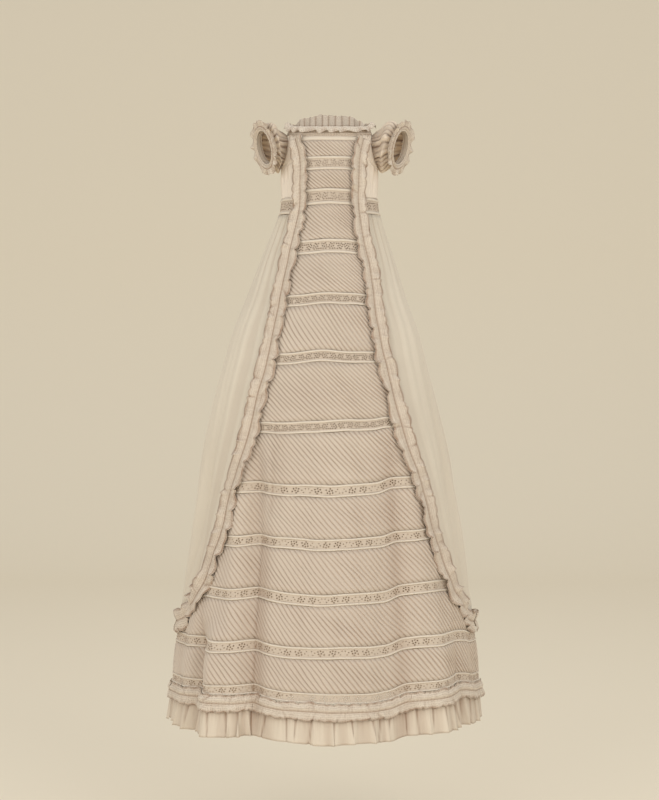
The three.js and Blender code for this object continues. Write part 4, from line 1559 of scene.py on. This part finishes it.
class DoubleFrill:
    """A gathered strip stitched down its middle, with both edges free and ruffled."""

    across = 17
    step = 2.0
    stray = 1.7
    fade = 16.0
    fullness = 1.35

    def __init__(self, path: np.ndarray, cut: FrillCut, calm: bool = True) -> None:
        """Measures the frill's path.

        Args:
            path: The angles and heights that its stitched middle follows.
            cut: Its sizes.
            calm: Whether it grows from a quiet start, or waves evenly from end to end.
        """
        self.cut = cut
        run = run_along(BODY.point(path[:, 0], path[:, 1], cut.clear))
        self.run = np.linspace(0, run[-1], int(run[-1] / self.step))
        self.total = float(run[-1])
        self.angle = np.interp(self.run, run, path[:, 0])
        self.z = np.interp(self.run, run, path[:, 1])
        self.calm = calm
        self.crossing = 68.0 if calm else 37.0  # how far apart the slanting creases lie

    def points(self) -> tuple[np.ndarray, np.ndarray]:
        """Lays the frill out.

        Returns:
            Its grid, from one edge to the other along the first axis, and its painted shade.
        """
        cut, run, length = self.cut, self.run, self.cut.length
        centre = BODY.point(self.angle, self.z, cut.clear + 0.4)
        out = BODY.square_out(self.angle, self.z)
        along = np.gradient(centre, axis=0)
        along /= np.linalg.norm(along, axis=1, keepdims=True)
        side = np.cross(out, along)
        side /= np.linalg.norm(side, axis=1, keepdims=True)
        if self.calm:
            wander = self.stray * drift(run, cut.seed + 9, 42) * between(run, self.total, 30)
            centre = centre + side * wander[:, None]
        growth = mix(0.62, 1.0, smooth(run / self.total * 1.6)) if self.calm else 1.0
        growth = growth * between(run, self.total, self.fade)
        half = cut.half_width + cut.widening * run / self.total
        shade = 0.6 * BODY.painted_fold_shade(self.angle, self.z)
        rows, painted_shades = [], []
        for v in np.linspace(-1, 1, self.across):
            free = abs(v)
            seed = cut.seed + (0 if v < 0 else 50)
            turns = run / length + 0.45 * drift(run, seed, length * 1.3) + (0.13 if v > 0 else 0)
            phase = 2 * math.pi * turns
            size = growth * (0.8 + 0.4 * drift(run, seed + 1, length * 0.9))
            wave = rolled(phase, 0.5) + 0.22 * np.sin(2.7 * phase + 1)
            hump = cut.rise * math.sin(min(1.0, 1.25 * free) * math.pi / 2)
            gathers = np.sin(2 * math.pi * run / 5.4 + 2 * drift(run, seed + 3, 11))
            tucked = self._crossings(seed + 4, free) * min(1.0, 2.2 * free)
            streak = np.abs(np.sin(math.pi * (1.5 * free + 0.6 * drift(run, seed + 8, 48))))
            streak = (1 - streak) ** 5 * (0.15 < free < 0.95)
            leaf = run / cut.leaf + 0.7 * drift(run, seed + 6, cut.leaf * 1.7)
            leaf = np.abs(np.sin(math.pi * leaf))
            lift = hump + cut.wave * size * free**1.1 * wave - 0.6 * cut.wave * tucked - 0.5 * streak
            lift = lift + 0.5 * math.exp(-free / 0.4) * gathers * min(1.0, 8 * free)
            if v > 0 and not self.calm:
                pressed = float(smooth((free - 0.3) / 0.6))
                lift = lift * (1 - 0.55 * pressed) - 3.0 * pressed
            reach = 1 + 0.12 * drift(run, seed + 2, length * 0.6) - 0.1 * wave * free - 0.08 * tucked
            reach = half * v * reach + np.sign(v) * cut.notch * (leaf**0.7 - 0.62) * free**3
            slide = 0.17 * length * size * free**1.2 * np.cos(phase)
            rows.append(centre + side * reach[:, None] + out * lift[:, None] + along * slide[:, None])
            # painted shade along the stitched middle, in the troughs of the gathers and waves, in the
            # slanting crease lines and streaks, with the painted shade of the folds, and along the free
            # edges, darker in their notches
            painted_darkness = 0.75 * bell(free, 0, 0.09) + 0.3 * math.exp(-free / 0.4) * (-gathers).clip(0)
            painted_darkness = painted_darkness + 0.24 * free * (-wave).clip(0) + 0.55 * tucked + 0.3 * streak + shade
            painted_shades.append(painted_darkness + (0.44 + 0.42 * (1 - leaf) ** 2) * (free > 0.85))
        return np.array(rows), np.array(painted_shades)

    def _crossings(self, seed: int, free: float) -> np.ndarray:
        """Where slanting crease lines cross one side of the frill.

        Args:
            seed: Which creases.
            free: How far out from the stitched middle, from 0 to 1.

        Returns:
            A line of narrow peaks along the frill.
        """
        random = np.random.default_rng(seed)
        places = np.arange(self.crossing * 0.6, self.total, self.crossing)
        places = places + random.uniform(-0.42, 0.42, len(places)) * self.crossing
        leans = random.uniform(-11, 11, len(places))
        depths = random.uniform(0.45, 1.0, len(places))
        total = 0 * self.run
        for place, lean, depth in zip(places, leans, depths):
            total = total + depth * bell(self.run, place + lean * free, 1.7)
        return total

    def build(self, name: str, finish: Finish) -> tuple[bpy.types.Object, np.ndarray]:
        """Makes the frill.

        Args:
            name: The piece's name.
            finish: What it is made of.

        Returns:
            The object, in the scene, and its grid.
        """
        grid, painted_shades = self.points()
        width = self.cut.half_width * 2 + self.cut.widening
        flat = pairs(self.run[None] * self.fullness, np.linspace(0, width, self.across)[:, None])
        return one_sheet(name, finish, grid, flat, GATHERED, turned=True, crease=painted_shades), grid


class Trims:
    """Robings, heading and hem ruffle, with the stitching and edging on them."""

    robing = FrillCut(12, 5.5, 4.2, 3.8, 37, 3.9, 19, 3.4, 100)
    robing_back = FrillCut(15, 0, 4.2, 3.2, 38, 4.6, 19, 3.0, 140)
    heading = FrillCut(12, 0, 3.2, 1.8, 27, 4.9, 11, 2.6, 180)
    path = (
        (47, -11), (39.5, -32), (35.5, -62), (34.5, -110), (35, -190), (34, -269), (34, -347),
        (36.5, -424), (41, -500), (46.5, -577), (52, -654), (62, -727), (70, -748), (78, -764),
        (84.5, -773), (89.6, SIZE.turn),
    )
    ruffle_length: float = 59  # the length of the hem ruffle's cut, before its turning
    sides: int = 6  # how many edges the robings have

    def __init__(self, repeats: Repeats) -> None:
        """Starts with no stitching or edging.

        Args:
            repeats: What sets small shapes along lines.
        """
        self.repeats = repeats
        self.stitches: list[np.ndarray] = []
        self.picots: list[np.ndarray] = []

    def build(self) -> None:
        """Makes every trim below the neck."""
        rows = np.array(self.path, float)
        spread = np.column_stack([rows[:, 0] * 2.4, rows[:, 1]])
        run = run_along(spread)
        side_path = hermite(run, rows, np.linspace(0, run[-1], 500))
        for name, sign in (("robing_left", 1), ("robing_right", -1)):
            path = side_path * (sign, 1)
            cut = replace(self.robing, seed=self.robing.seed + 7 * sign)
            self._frill(name, path, cut, ["skirt_left" if sign > 0 else "skirt_right"])
        level = np.linspace(90.3, 269.7, 500)
        path = np.column_stack([level, 0 * level + SIZE.turn])
        self._frill("robing_back", path, self.robing_back, ["skirt_left"])
        for half, start in (("front", -89.9), ("back", 90.1)):
            angle = np.linspace(start, start + HALF_TURN, 500)
            path = np.column_stack([angle, 0 * angle + SIZE.heading])
            self._frill(f"hem_heading_{half}", path, self.heading, [f"hem_ruffle_{half}"], False)
            self._ruffle(half, start)
        stitch = self.repeats.shape("stitch", (2.1, 0.5, 0.45), 3, 5)
        self.repeats.along("stitching", self.stitches, stitch, 3.6, THREAD, seed=5)
        picot = self.repeats.shape("picot", (1.7, 1.3, 1.0), 3, 5)
        for n, lines in enumerate((self.picots[: self.sides], self.picots[self.sides :])):
            self.repeats.along(f"picot_edging_{n + 1}", lines, picot, 2.75, FRILL, seed=7 + n)

    def _frill(
        self, name: str, path: np.ndarray, cut: FrillCut, rests_on: list[str], calm: bool = True
    ) -> None:
        """Makes a double frill and notes where its stitching and edging go.

        Args:
            name: The piece's name.
            path: The angles and heights that it follows.
            cut: Its sizes.
            rests_on: What it lies on; not used.
            calm: Whether it grows from a quiet start.
        """
        frill = DoubleFrill(path, cut, calm)
        piece, grid = frill.build(name, FRILL)
        lift = BODY.square_out(frill.angle, frill.z) * 0.35
        middle = frill.across // 2
        self.stitches += [grid[middle - 1] + lift, grid[middle + 1] + lift]
        self.picots += [grid[0], grid[-1]]
        width = 2 * cut.half_width + cut.widening
        length = length_for(piece, width, GATHERED)
        KEEP.keep(piece, [name], (width * 1.02, length), GATHERED)

    def _ruffle(self, half: str, start: float) -> None:
        """Makes half of the hem ruffle.

        Args:
            half: Which half.
            start: The angle where it starts.
        """
        angles, lengths = BODY.evenly(start, start + HALF_TURN, -905)
        run = np.linspace(0, lengths[-1], int(lengths[-1] / 2.0))
        angle = np.interp(run, lengths, angles)[None]
        drop = np.linspace(0, 1, 20)[:, None]
        seed = 200 if half == "front" else 230
        ends = between(run, lengths[-1], 20)
        phase = 2 * math.pi * (run / 36 + 0.8 * drift(run, seed, 40))[None]
        phase = phase + 0.6 * drift(run, seed + 4, 40) * drop
        size = ends * (0.8 + 0.45 * drift(run, seed + 1, 33))
        wave = rolled(phase, 0.6) + 0.2 * np.sin(2.3 * phase + 0.6)
        gather = np.sin(2 * math.pi * run / 5.6 + 2.4 * drift(run, seed + 2, 9))[None]
        soft = (1 - np.abs(drift(run + 6 * drop * drift(run, seed + 7, 50), seed + 3, 10))) ** 7
        pleats = self._pleats(run, drop, seed + 9)
        out = SHELL + 5.4 * drop + 4.6 * size * drop**1.05 * wave + 0.7 * (1 - drop) ** 2 * gather * ends
        out = out - ends * (0.8 * soft * np.sin(np.pi * drop) ** 0.5 + 3.0 * pleats * smooth(drop / 0.35))
        slide = 1.0 * drop**1.2 * size * np.cos(phase)
        z = mix(SIZE.ruffle_top, SIZE.hem + 1.6, drop) + 0 * angle
        z = z + 2.4 * drop**2 * drift(run, seed + 6, 60) + 1.4 * drop**3 * pleats
        points = BODY.point(angle + slide, z, out)
        # painted shade in the troughs of the waves and gathers, in the soft folds and pleats, and with the
        # painted shade of the folds below the top; it also darkens a line along the lower edge and a band
        # across the ruffle a little above its middle
        painted_darkness = 0.3 * drop**0.5 * (-wave).clip(0) + 0.4 * (1 - drop) ** 1.5 * (-gather).clip(0)
        painted_darkness = painted_darkness + 0.28 * soft * (1 - 0.7 * drop) + 0.85 * pleats * smooth((drop - 0.12) / 0.3)
        painted_darkness = painted_darkness + 0.25 * (drop > 0.96) + 0.2 * bell(drop, 0.42, 0.12)
        painted_darkness = painted_darkness + BODY.painted_fold_shade(angle, z) * smooth((drop - 0.1) / 0.2)
        name = f"hem_ruffle_{half}"
        flat = pairs(run[None] * 1.5, z)
        piece = one_sheet(name, RUFFLE, points, flat, GATHERED, turned=True, crease=painted_darkness)
        cut = (length_for(piece, self.ruffle_length, GATHERED), self.ruffle_length + 1)
        KEEP.keep(piece, [name], cut, GATHERED)
        self.stitches.append(points[-3])

    @staticmethod
    def _pleats(run: np.ndarray, drop: np.ndarray, seed: int) -> np.ndarray:
        """Sharp pleats that run down from the heading, wide at the top.

        Args:
            run: The length along the ruffle.
            drop: The share of the way down it.
            seed: Which pleats.

        Returns:
            Peaks from 0 to 1, rows by columns.
        """
        random = np.random.default_rng(seed)
        places = np.cumsum(random.uniform(16, 35, 60))
        total = np.zeros((len(drop), len(run)))
        for place in places[places < run[-1] - 12]:
            lean, reach, wide = random.uniform(-6, 6), random.uniform(0.5, 1.25), random.uniform(1.2, 3.4)
            width = 0.9 + wide * (1 - drop) ** 1.6
            length = 1 - smooth((drop - reach) / 0.3)
            total += length * (1 - 0.35 * drop) * bell(run[None], place + lean * drop**1.4, width)
        return total.clip(0, 1)


@dataclass
class Neck:
    """The casing round the neck with its frill, turned down in front and standing up behind."""

    repeats: Repeats
    # from the casing's foot over the top and down to the free edge: out, up, and how loose it is
    profile: tuple = (
        (0.9, -13.0, 0.0), (1.0, -11.0, 0.1), (1.7, -9.6, 0.0), (1.0, -8.2, 0.1), (1.0, -5.0, 0.3),
        (1.0, -2.6, 0.2), (1.2, -1.2, 0.0), (1.9, -0.1, 0.0), (3.0, 0.2, 0.1), (4.6, -0.9, 0.3),
        (6.2, -2.6, 0.6), (7.6, -4.6, 0.85), (8.6, -6.8, 1.0), (8.9, -7.6, 1.0),
    )
    cords: tuple = (2, 6)  # the rows of the profile that lie on the casing's cords
    fold: int = 7  # and the row where the frill turns down

    def build(self) -> None:
        """Makes the front and both back pieces."""
        edges = [self._front(), self._back("left", 90.2, 179.8), self._back("right", 180.2, 269.8)]
        picot = self.repeats.shape("neck_picot", (1.4, 1.2, 0.9), 3, 5)
        self.repeats.along("picot_neck", edges, picot, 2.6, FRILL, seed=9)

    def _front(self) -> np.ndarray:
        """Makes the front, whose frill turns down.

        Returns:
            Its free edge.
        """
        angles, lengths = BODY.evenly(-89.8, 89.8, 0)
        run = np.linspace(0, lengths[-1], int(lengths[-1] / 1.0))
        angle = np.interp(run, lengths, angles)[None]
        top = neckline(angle)
        free = 0.55 + 0.45 * np.cos(np.radians(angle))
        phase = 2 * math.pi * (run / 21 + 0.55 * drift(run, 301, 23))[None]
        size = 0.8 + 0.35 * drift(run, 302, 19)
        fine = 0.3 * np.sin(2 * math.pi * run / 3.6 + 2 * drift(run, 303, 8))
        perk = (5.5 + 2 * np.sin(angle * 0.9)) * bell(np.abs(angle), 80, 11)
        rows, flats, painted_shades, at = [], [], [], 0.0
        for n, (out, drop, loose) in enumerate(self.profile):
            turned = n > self.fold
            away = out + 2.9 * loose * size * rolled(phase, 0.6) * turned
            away = away + fine * (0.4 + loose) * (n not in self.cords)
            z = top + 1.15 * drop * (free if turned else 1) + 2.5 * loose * turned * size * np.cos(phase)
            z = z + perk * min(1.0, max(0, n - self.fold + 1) / 3)
            rows.append(BODY.point(angle + 1.2 * loose * turned * np.cos(phase), z, away)[0])
            at += 1.8
            flats.append(np.stack([run * 1.3, 0 * run + at], axis=-1))
            # painted shade beside the first cord, on the casing under the turned-down frill, in the troughs
            # of the waves and fine gathers, and along the free edge
            painted_darkness = 0.45 * (n in (1, 3)) + 0.25 * (4 <= n <= 6) + 0.45 * loose * (-np.sin(phase[0])).clip(0)
            painted_darkness = painted_darkness + 0.35 * (n == len(self.profile) - 1)
            painted_shades.append(painted_darkness + 0.5 * (-fine).clip(0))
        return self._finish("neck_frill_front", rows, flats, painted_shades, 24)

    def _back(self, side: str, start: float, end: float) -> np.ndarray:
        """Makes one side of the back, whose frill stands up in box pleats.

        Args:
            side: Which side.
            start: The angle where it starts.
            end: The angle where it ends.

        Returns:
            Its free edge.
        """
        angles, lengths = BODY.evenly(start, end, 10)
        run = np.linspace(0, lengths[-1], int(lengths[-1] / 0.85))
        angle = np.interp(run, lengths, angles)[None]
        top = neckline(angle)
        away_back = np.abs(180 - angle)
        reach = np.sin(np.radians(np.minimum(away_back, 58))) / math.sin(math.radians(58))
        stand = mix(2.2, 16.8, np.sqrt((1 - reach**2).clip(0)))
        stand = stand + 3 * bell(away_back, 90, 9) + 1.1 * drift(run, 313, 2.4)[None]
        phase = 2 * math.pi * (run / 22 + 0.07 * drift(run, 311, 14))[None]
        box = np.tanh(2.2 * np.sin(phase))
        up = np.concatenate([np.linspace(-13, 0, 9), np.linspace(1.8, 18, 10)])
        rows, flats, painted_shades = [], [], []
        for height in up:
            free = max(0.0, height) / 18
            z = top + (height if height <= 0 else free * stand)
            cord = 0.8 * bell(height, -1.0, 0.8) + 0.6 * bell(height, -9.5, 0.8)
            away = SHELL + cord + free * 1.2 + (0.35 + 1.9 * free**0.8) * box * (height > -12.5)
            away = away * (1 if height > 0 else 0.85)
            rows.append(BODY.point(angle, z + 0.9 * free * np.sin(phase * 0.5), away)[0])
            flats.append(np.stack([run * 1.6, 0 * run + height], axis=-1))
            # painted shade in the folds between the box pleats, along the foot of the standing frill and
            # along its free edge
            painted_darkness = 0.95 * (1 - np.abs(box[0])) ** 1.2 * (1 - 0.2 * free) + 0.3 * (abs(height) < 0.8)
            painted_shades.append(painted_darkness + 0.3 * (height > 17.5))
        return self._finish(f"neck_frill_back_{side}", rows, flats, painted_shades, 31)

    @staticmethod
    def _finish(name: str, rows: list, flats: list, painted_shades: list, width: float) -> np.ndarray:
        """Makes and keeps a piece of the neck.

        Args:
            name: The piece's name.
            rows: Its rows of points, up to the free edge.
            flats: Their places on the flat cloth.
            painted_shades: How much painted shade darkens them.
            width: The height of its cut.

        Returns:
            Its free edge.
        """
        piece = one_sheet(name, FRILL, np.array(rows), np.array(flats), FINE, crease=np.array(painted_shades))
        cut = (length_for(piece, width, FINE), width * 1.02)
        KEEP.keep(piece, [name], cut, FINE)
        return rows[-1]


@dataclass
class Sleeves:
    """Short puffed sleeves with a cuff band and a frill."""

    repeats: Repeats
    around: int = 150
    faces: tuple[float, float, float] = (0.878, -0.407, -0.252)
    cuff_at: tuple[float, float, float] = (102.8, -19.2, -21.6)
    cuff_radius: float = 26
    cuff_wide: float = 6
    frill_radius: float = 43
    rolls: tuple[float, float] = (0.1, 0.33)  # where the two rolled rings of the frill's foot lie
    foot: float = 80  # where a sleeve leaves the body
    reach: tuple[float, float] = (1.1, 0.7)  # how far the left and right sleeves stand out from there
    inset: float = 1.1  # how far a sleeve's foot lies inside the armhole's edge
    width: float = 235  # of a sleeve's cut
    cuff_height: float = 10  # of a cuff's cut
    frill_height: float = 19  # of a cuff frill's cut

    def build(self) -> None:
        """Makes both sleeves."""
        edges = []
        for side, sign in (("left", 1), ("right", -1)):
            edges.append(self._sleeve(side, sign))
        picot = self.repeats.shape("cuff_picot", (1.5, 1.2, 0.9), 3, 5)
        self.repeats.along("picot_cuffs", edges, picot, 2.7, FRILL, seed=13)

    def _basis(self, turn: float) -> tuple[np.ndarray, np.ndarray, np.ndarray]:
        """The directions of a ring of the left sleeve.

        Args:
            turn: How far the ring is turned from the body to the way the cuff faces, from 0 to 1.

        Returns:
            Out along the sleeve, level across it, and up.
        """
        face = np.array(self.faces) / np.linalg.norm(self.faces)
        axis = np.array((1.0, 0, 0)) * (1 - turn) + face * turn
        axis /= np.linalg.norm(axis)
        level = np.cross((0, 0, 1.0), axis)
        level /= np.linalg.norm(level)
        return axis, level, np.cross(axis, level)

    def _circle(
        self, centre: tuple, turn: float, across: Lengths, up: Lengths, along: Lengths = 0.0,
        phi: np.ndarray | None = None, sign: int = 1,
    ) -> np.ndarray:
        """A ring of points of a sleeve, as if it were the left one.

        Args:
            centre: The ring's middle.
            turn: How far the ring is turned, from 0 to 1.
            across: Its radius across.
            up: Its radius up.
            along: How far along the sleeve its points are moved.
            phi: The points' places round it, in radians.
            sign: 1 for the left sleeve's reach and -1 for the right one's.

        Returns:
            The points.
        """
        axis, level, upright = self._basis(turn)
        phi = self._phi() if phi is None else phi
        ones = np.ones_like(phi)
        x, y, z = centre
        middle = np.array((mix(self.foot, x, self.reach[0] if sign > 0 else self.reach[1]), y, z))
        flat = middle + np.outer(across * np.cos(phi), level) + np.outer(up * np.sin(phi), upright)
        return flat + np.outer(along * ones, axis)

    def _phi(self, count: int | None = None) -> np.ndarray:
        """Places evenly round a ring, in radians."""
        return np.linspace(0, 2 * math.pi, count or self.around, endpoint=False)

    def _sleeve(self, side: str, sign: int) -> np.ndarray:
        """Makes a puffed sleeve with its cuff and frill.

        Args:
            side: Which side.
            sign: 1 for the left and -1 for the right.

        Returns:
            The frill's free edge.
        """
        mirror = np.array((sign, 1, 1))
        phi = self._phi()
        scale = 1 - self.inset / SIZE.arm_height
        power = lambda v: np.sign(v) * np.abs(v) ** SIZE.arm_square
        angle = 90 + SIZE.arm_reach * scale * power(np.cos(phi))
        z = SIZE.arm_middle + SIZE.arm_height * scale * power(np.sin(phi))
        rings = [BODY.point(angle, z, SHELL)]
        for r in SLEEVE_RINGS:
            rings.append(self._circle((r.x, r.y, r.z), r.turn, r.across + 0.8, r.up + 0.8, sign=sign))
        rings = np.array(rings)
        at = np.linspace(0, len(rings) - 1, 34)
        points = hermite(np.arange(len(rings), dtype=float), rings, at)
        centre = points.mean(axis=1, keepdims=True)
        ray = points - centre
        ray /= np.linalg.norm(ray, axis=2, keepdims=True)
        ends = bell(at, 0.8, 0.8) + bell(at, 4.7, 0.8)
        pleats = np.sin(22 * phi + 1.6 * np.sin(3 * phi)) + 0.5 * np.sin(11 * phi + 1)
        soft = np.sin(7 * phi + 0.8 * np.sin(2 * phi) + sign)
        at, ends = at[:, None], ends[:, None]
        size = (0.9 + 1.5 * ends) * pleats + 1.8 * np.sin(np.pi * at / 5) * soft
        points = points + ray * (size * smooth(at / 0.7))[..., None]
        # painted shade in the valleys of the pleats and soft folds, a little all over, and more where the
        # sleeve leaves the body
        painted_darkness = (0.46 + 0.3 * ends) * (-pleats).clip(0) ** 1.4 + 0.22 * (-soft).clip(0)
        painted_darkness = 0.04 + painted_darkness + 0.3 * bell(at, 0, 0.7)
        grid = {"ring": True, "turned": sign > 0}
        name = f"sleeve_{side}"
        flat = pairs((phi * 36)[None], at * 10)
        piece = one_sheet(name, PUFFED, points * mirror, flat, GATHERED, crease=painted_darkness, **grid)
        cut = (self.width, length_for(piece, self.width, GATHERED) * 1.01)
        KEEP.keep(piece, [name], cut, GATHERED)
        self._cuff(side, sign, mirror)
        return self._frill(side, sign, mirror)

    def _cuff(self, side: str, sign: int, mirror: np.ndarray) -> None:
        """Makes a cuff band with its two cords.

        Args:
            side: Which side.
            sign: 1 for the left and -1 for the right.
            mirror: What turns the left sleeve's points into this one's.
        """
        across = np.linspace(0, 1, 12)
        cords = bell(across, 0.14, 0.1) + bell(across, 0.86, 0.1)
        rows = [
            self._circle(self.cuff_at, 1, radius, radius, self.cuff_wide * share, sign=sign)
            for share, radius in zip(across, self.cuff_radius + 0.5 + 1.5 * cords)
        ]
        flat = pairs((self._phi() * self.cuff_radius)[None], (across * self.cuff_wide)[:, None])
        # painted shade across the band, except on its two cords
        grid = {"ring": True, "turned": sign > 0, "crease": 0.4 * (1 - cords)[:, None]}
        name = f"cuff_{side}"
        piece = one_sheet(name, PIPING, np.array(rows) * mirror, flat, GATHERED, **grid)
        cut = (length_for(piece, self.cuff_height, GATHERED), self.cuff_height * 1.02)
        KEEP.keep(piece, [name], cut, GATHERED)

    def _frill(self, side: str, sign: int, mirror: np.ndarray) -> np.ndarray:
        """Makes a cuff's frill.

        Args:
            side: Which side.
            sign: 1 for the left and -1 for the right.
            mirror: What turns the left sleeve's points into this one's.

        Returns:
            Its free edge, closed.
        """
        phi = self._phi(220)
        turns = 11 * phi + 1.3 * np.sin(2 * phi + sign) + 0.8 * np.sin(5 * phi)
        size = 0.85 + 0.35 * np.sin(3 * phi + 1)
        gathers = np.sin(34 * phi + 2 * np.sin(7 * phi))
        wave = rolled(turns, 0.5)
        ragged = np.abs(np.sin(phi * 19 + 1.2 * np.sin(4 * phi)))
        rows, flats, painted_shades = [], [], []
        for free in np.linspace(0, 1, 19):
            rolls = sum(bell(free, at, 0.085) for at in self.rolls)
            loose = smooth((free - 0.35) / 0.65)
            reach = mix(self.cuff_radius - 0.3, self.frill_radius, free)
            reach = reach + 1.1 * loose * np.cos(2 * turns + 1) + 0.8 * ragged * (free > 0.97)
            lift = self.cuff_wide + 0.8 + 2.6 * rolls + 3.4 * math.sin(min(1.0, 1.3 * free) * math.pi / 2)
            lift = lift + 2.9 * loose * size * wave
            lift = lift + 0.5 * math.exp(-free / 0.4) * gathers * min(1, 6 * free)
            twist = phi + 0.03 * loose * np.cos(turns)
            rows.append(self._circle(self.cuff_at, 1, reach, reach, lift, twist, sign))
            flats.append(np.stack([phi * 44, 0 * phi + free * 17], axis=-1))
            # painted shade round the rolled rings at the frill's foot, in the troughs of the waves and
            # gathers, and along the free edge
            painted_darkness = 0.95 * (1 - min(1.0, rolls)) ** 2 * (free < 0.55) + 0.55 * loose * (-wave).clip(0)
            painted_shades.append(painted_darkness + 0.25 * (-gathers).clip(0) * (0.3 < free) + 0.3 * (free > 0.97))
        grid = {"ring": True, "turned": sign > 0, "crease": np.array(painted_shades)}
        name = f"cuff_frill_{side}"
        piece = one_sheet(name, FRILL, np.array(rows) * mirror, np.array(flats), FINE, **grid)
        cut = (length_for(piece, self.frill_height, FINE), self.frill_height + 0.2)
        KEEP.keep(piece, [name], cut, FINE)
        return np.concatenate([rows[-1], rows[-1][:1]]) * mirror


# ---- studio


@dataclass
class Studio:
    """Camera, lights and a plain pale sweep behind and under the robe."""

    distance: float = 2.5
    eye: float = -0.424
    lens: float = 70.3
    floor: float = -1.13
    paper: tuple[float, float, float, float] = (0.69, 0.63, 0.513, 1)
    glow: float = 0.235  # how much light the paper gives back by itself
    daylight: tuple[float, float, float, float] = (1.0, 0.975, 0.94, 1)

    def build(self) -> None:
        """Sets up the studio."""
        scene = bpy.context.scene
        camera = bpy.data.objects.new("camera", bpy.data.cameras.new("camera"))
        camera.location = (0, -self.distance, self.eye)
        camera.rotation_euler = (math.radians(90), 0, 0)
        camera.data.lens = self.lens
        camera.data.sensor_width = 36
        camera.data.clip_end = 50
        scene.collection.objects.link(camera)
        scene.camera = camera
        self._sweep()
        self._light("key", (1.7, -2.5, 0.3), 1.9, 28, (1.0, 0.985, 0.965))
        self._light("fill", (-1.9, -2.6, 0.0), 2.2, 31, (1.0, 0.98, 0.96))
        self._light("above", (0.0, 0.6, 2.6), 2.4, 18, (1.0, 0.985, 0.97))
        world = bpy.data.worlds.new("world")
        world.use_nodes = True
        sky = world.node_tree.nodes["Background"].inputs
        sky["Color"].default_value, sky["Strength"].default_value = self.daylight, 0.6
        scene.world = world
        scene.view_settings.view_transform = "Standard"

    def _light(self, name: str, place: tuple, size: float, power: float, colour: tuple) -> None:
        """Adds a round light that looks at the robe's middle.

        Args:
            name: Its name.
            place: Where it stands, in metres.
            size: How wide it is, in metres.
            power: How strong, in watts.
            colour: Its colour.
        """
        data = bpy.data.lights.new(name, "AREA")
        data.shape = "DISK"
        data.size, data.energy, data.color = size, power, colour
        light = bpy.data.objects.new(name, data)
        light.location = place
        aim = Vector((0, 0, self.eye)) - Vector(place)
        light.rotation_euler = aim.to_track_quat("-Z", "Y").to_euler()
        bpy.context.scene.collection.objects.link(light)

    def _sweep(self) -> None:
        """Adds the paper: a floor that curves up into a wall."""
        turn = np.linspace(0, math.pi / 2, 24)
        y = np.concatenate([[-7000], 3600 + 1400 * np.sin(turn), [5000]])
        z = np.concatenate([[0], 1400 - 1400 * np.cos(turn), [5600]]) + self.floor / MM
        x = np.linspace(-8000, 8000, 9)
        points = np.stack(np.broadcast_arrays(x[None], y[:, None], z[:, None]), axis=-1)
        sweep = one_sheet("studio_sweep", THREAD, points, points[..., :2])
        mat = bpy.data.materials.new("sweep_paper")
        mat.use_nodes = True
        look = {
            "Base Color": self.paper, "Roughness": 1.0, "Specular IOR Level": 0.0,
            "Emission Color": self.paper, "Emission Strength": self.glow,
        }
        for key, value in look.items():
            mat.node_tree.nodes["Principled BSDF"].inputs[key].default_value = value
        sweep.data.materials.clear()
        sweep.data.materials.append(mat)


def main() -> None:
    """Builds the robe and its studio."""
    repeats = Repeats()
    Studio().build()
    FrontPanel().build()
    Border().build()
    Skirt().build()
    Bodice().build()
    Trims(repeats).build()
    Neck(repeats).build()
    Sleeves(repeats).build()
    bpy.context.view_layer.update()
    log.info("%d pieces, %d triangles", KEEP.made, KEEP.triangles)


if __name__ == "__main__":
    main()
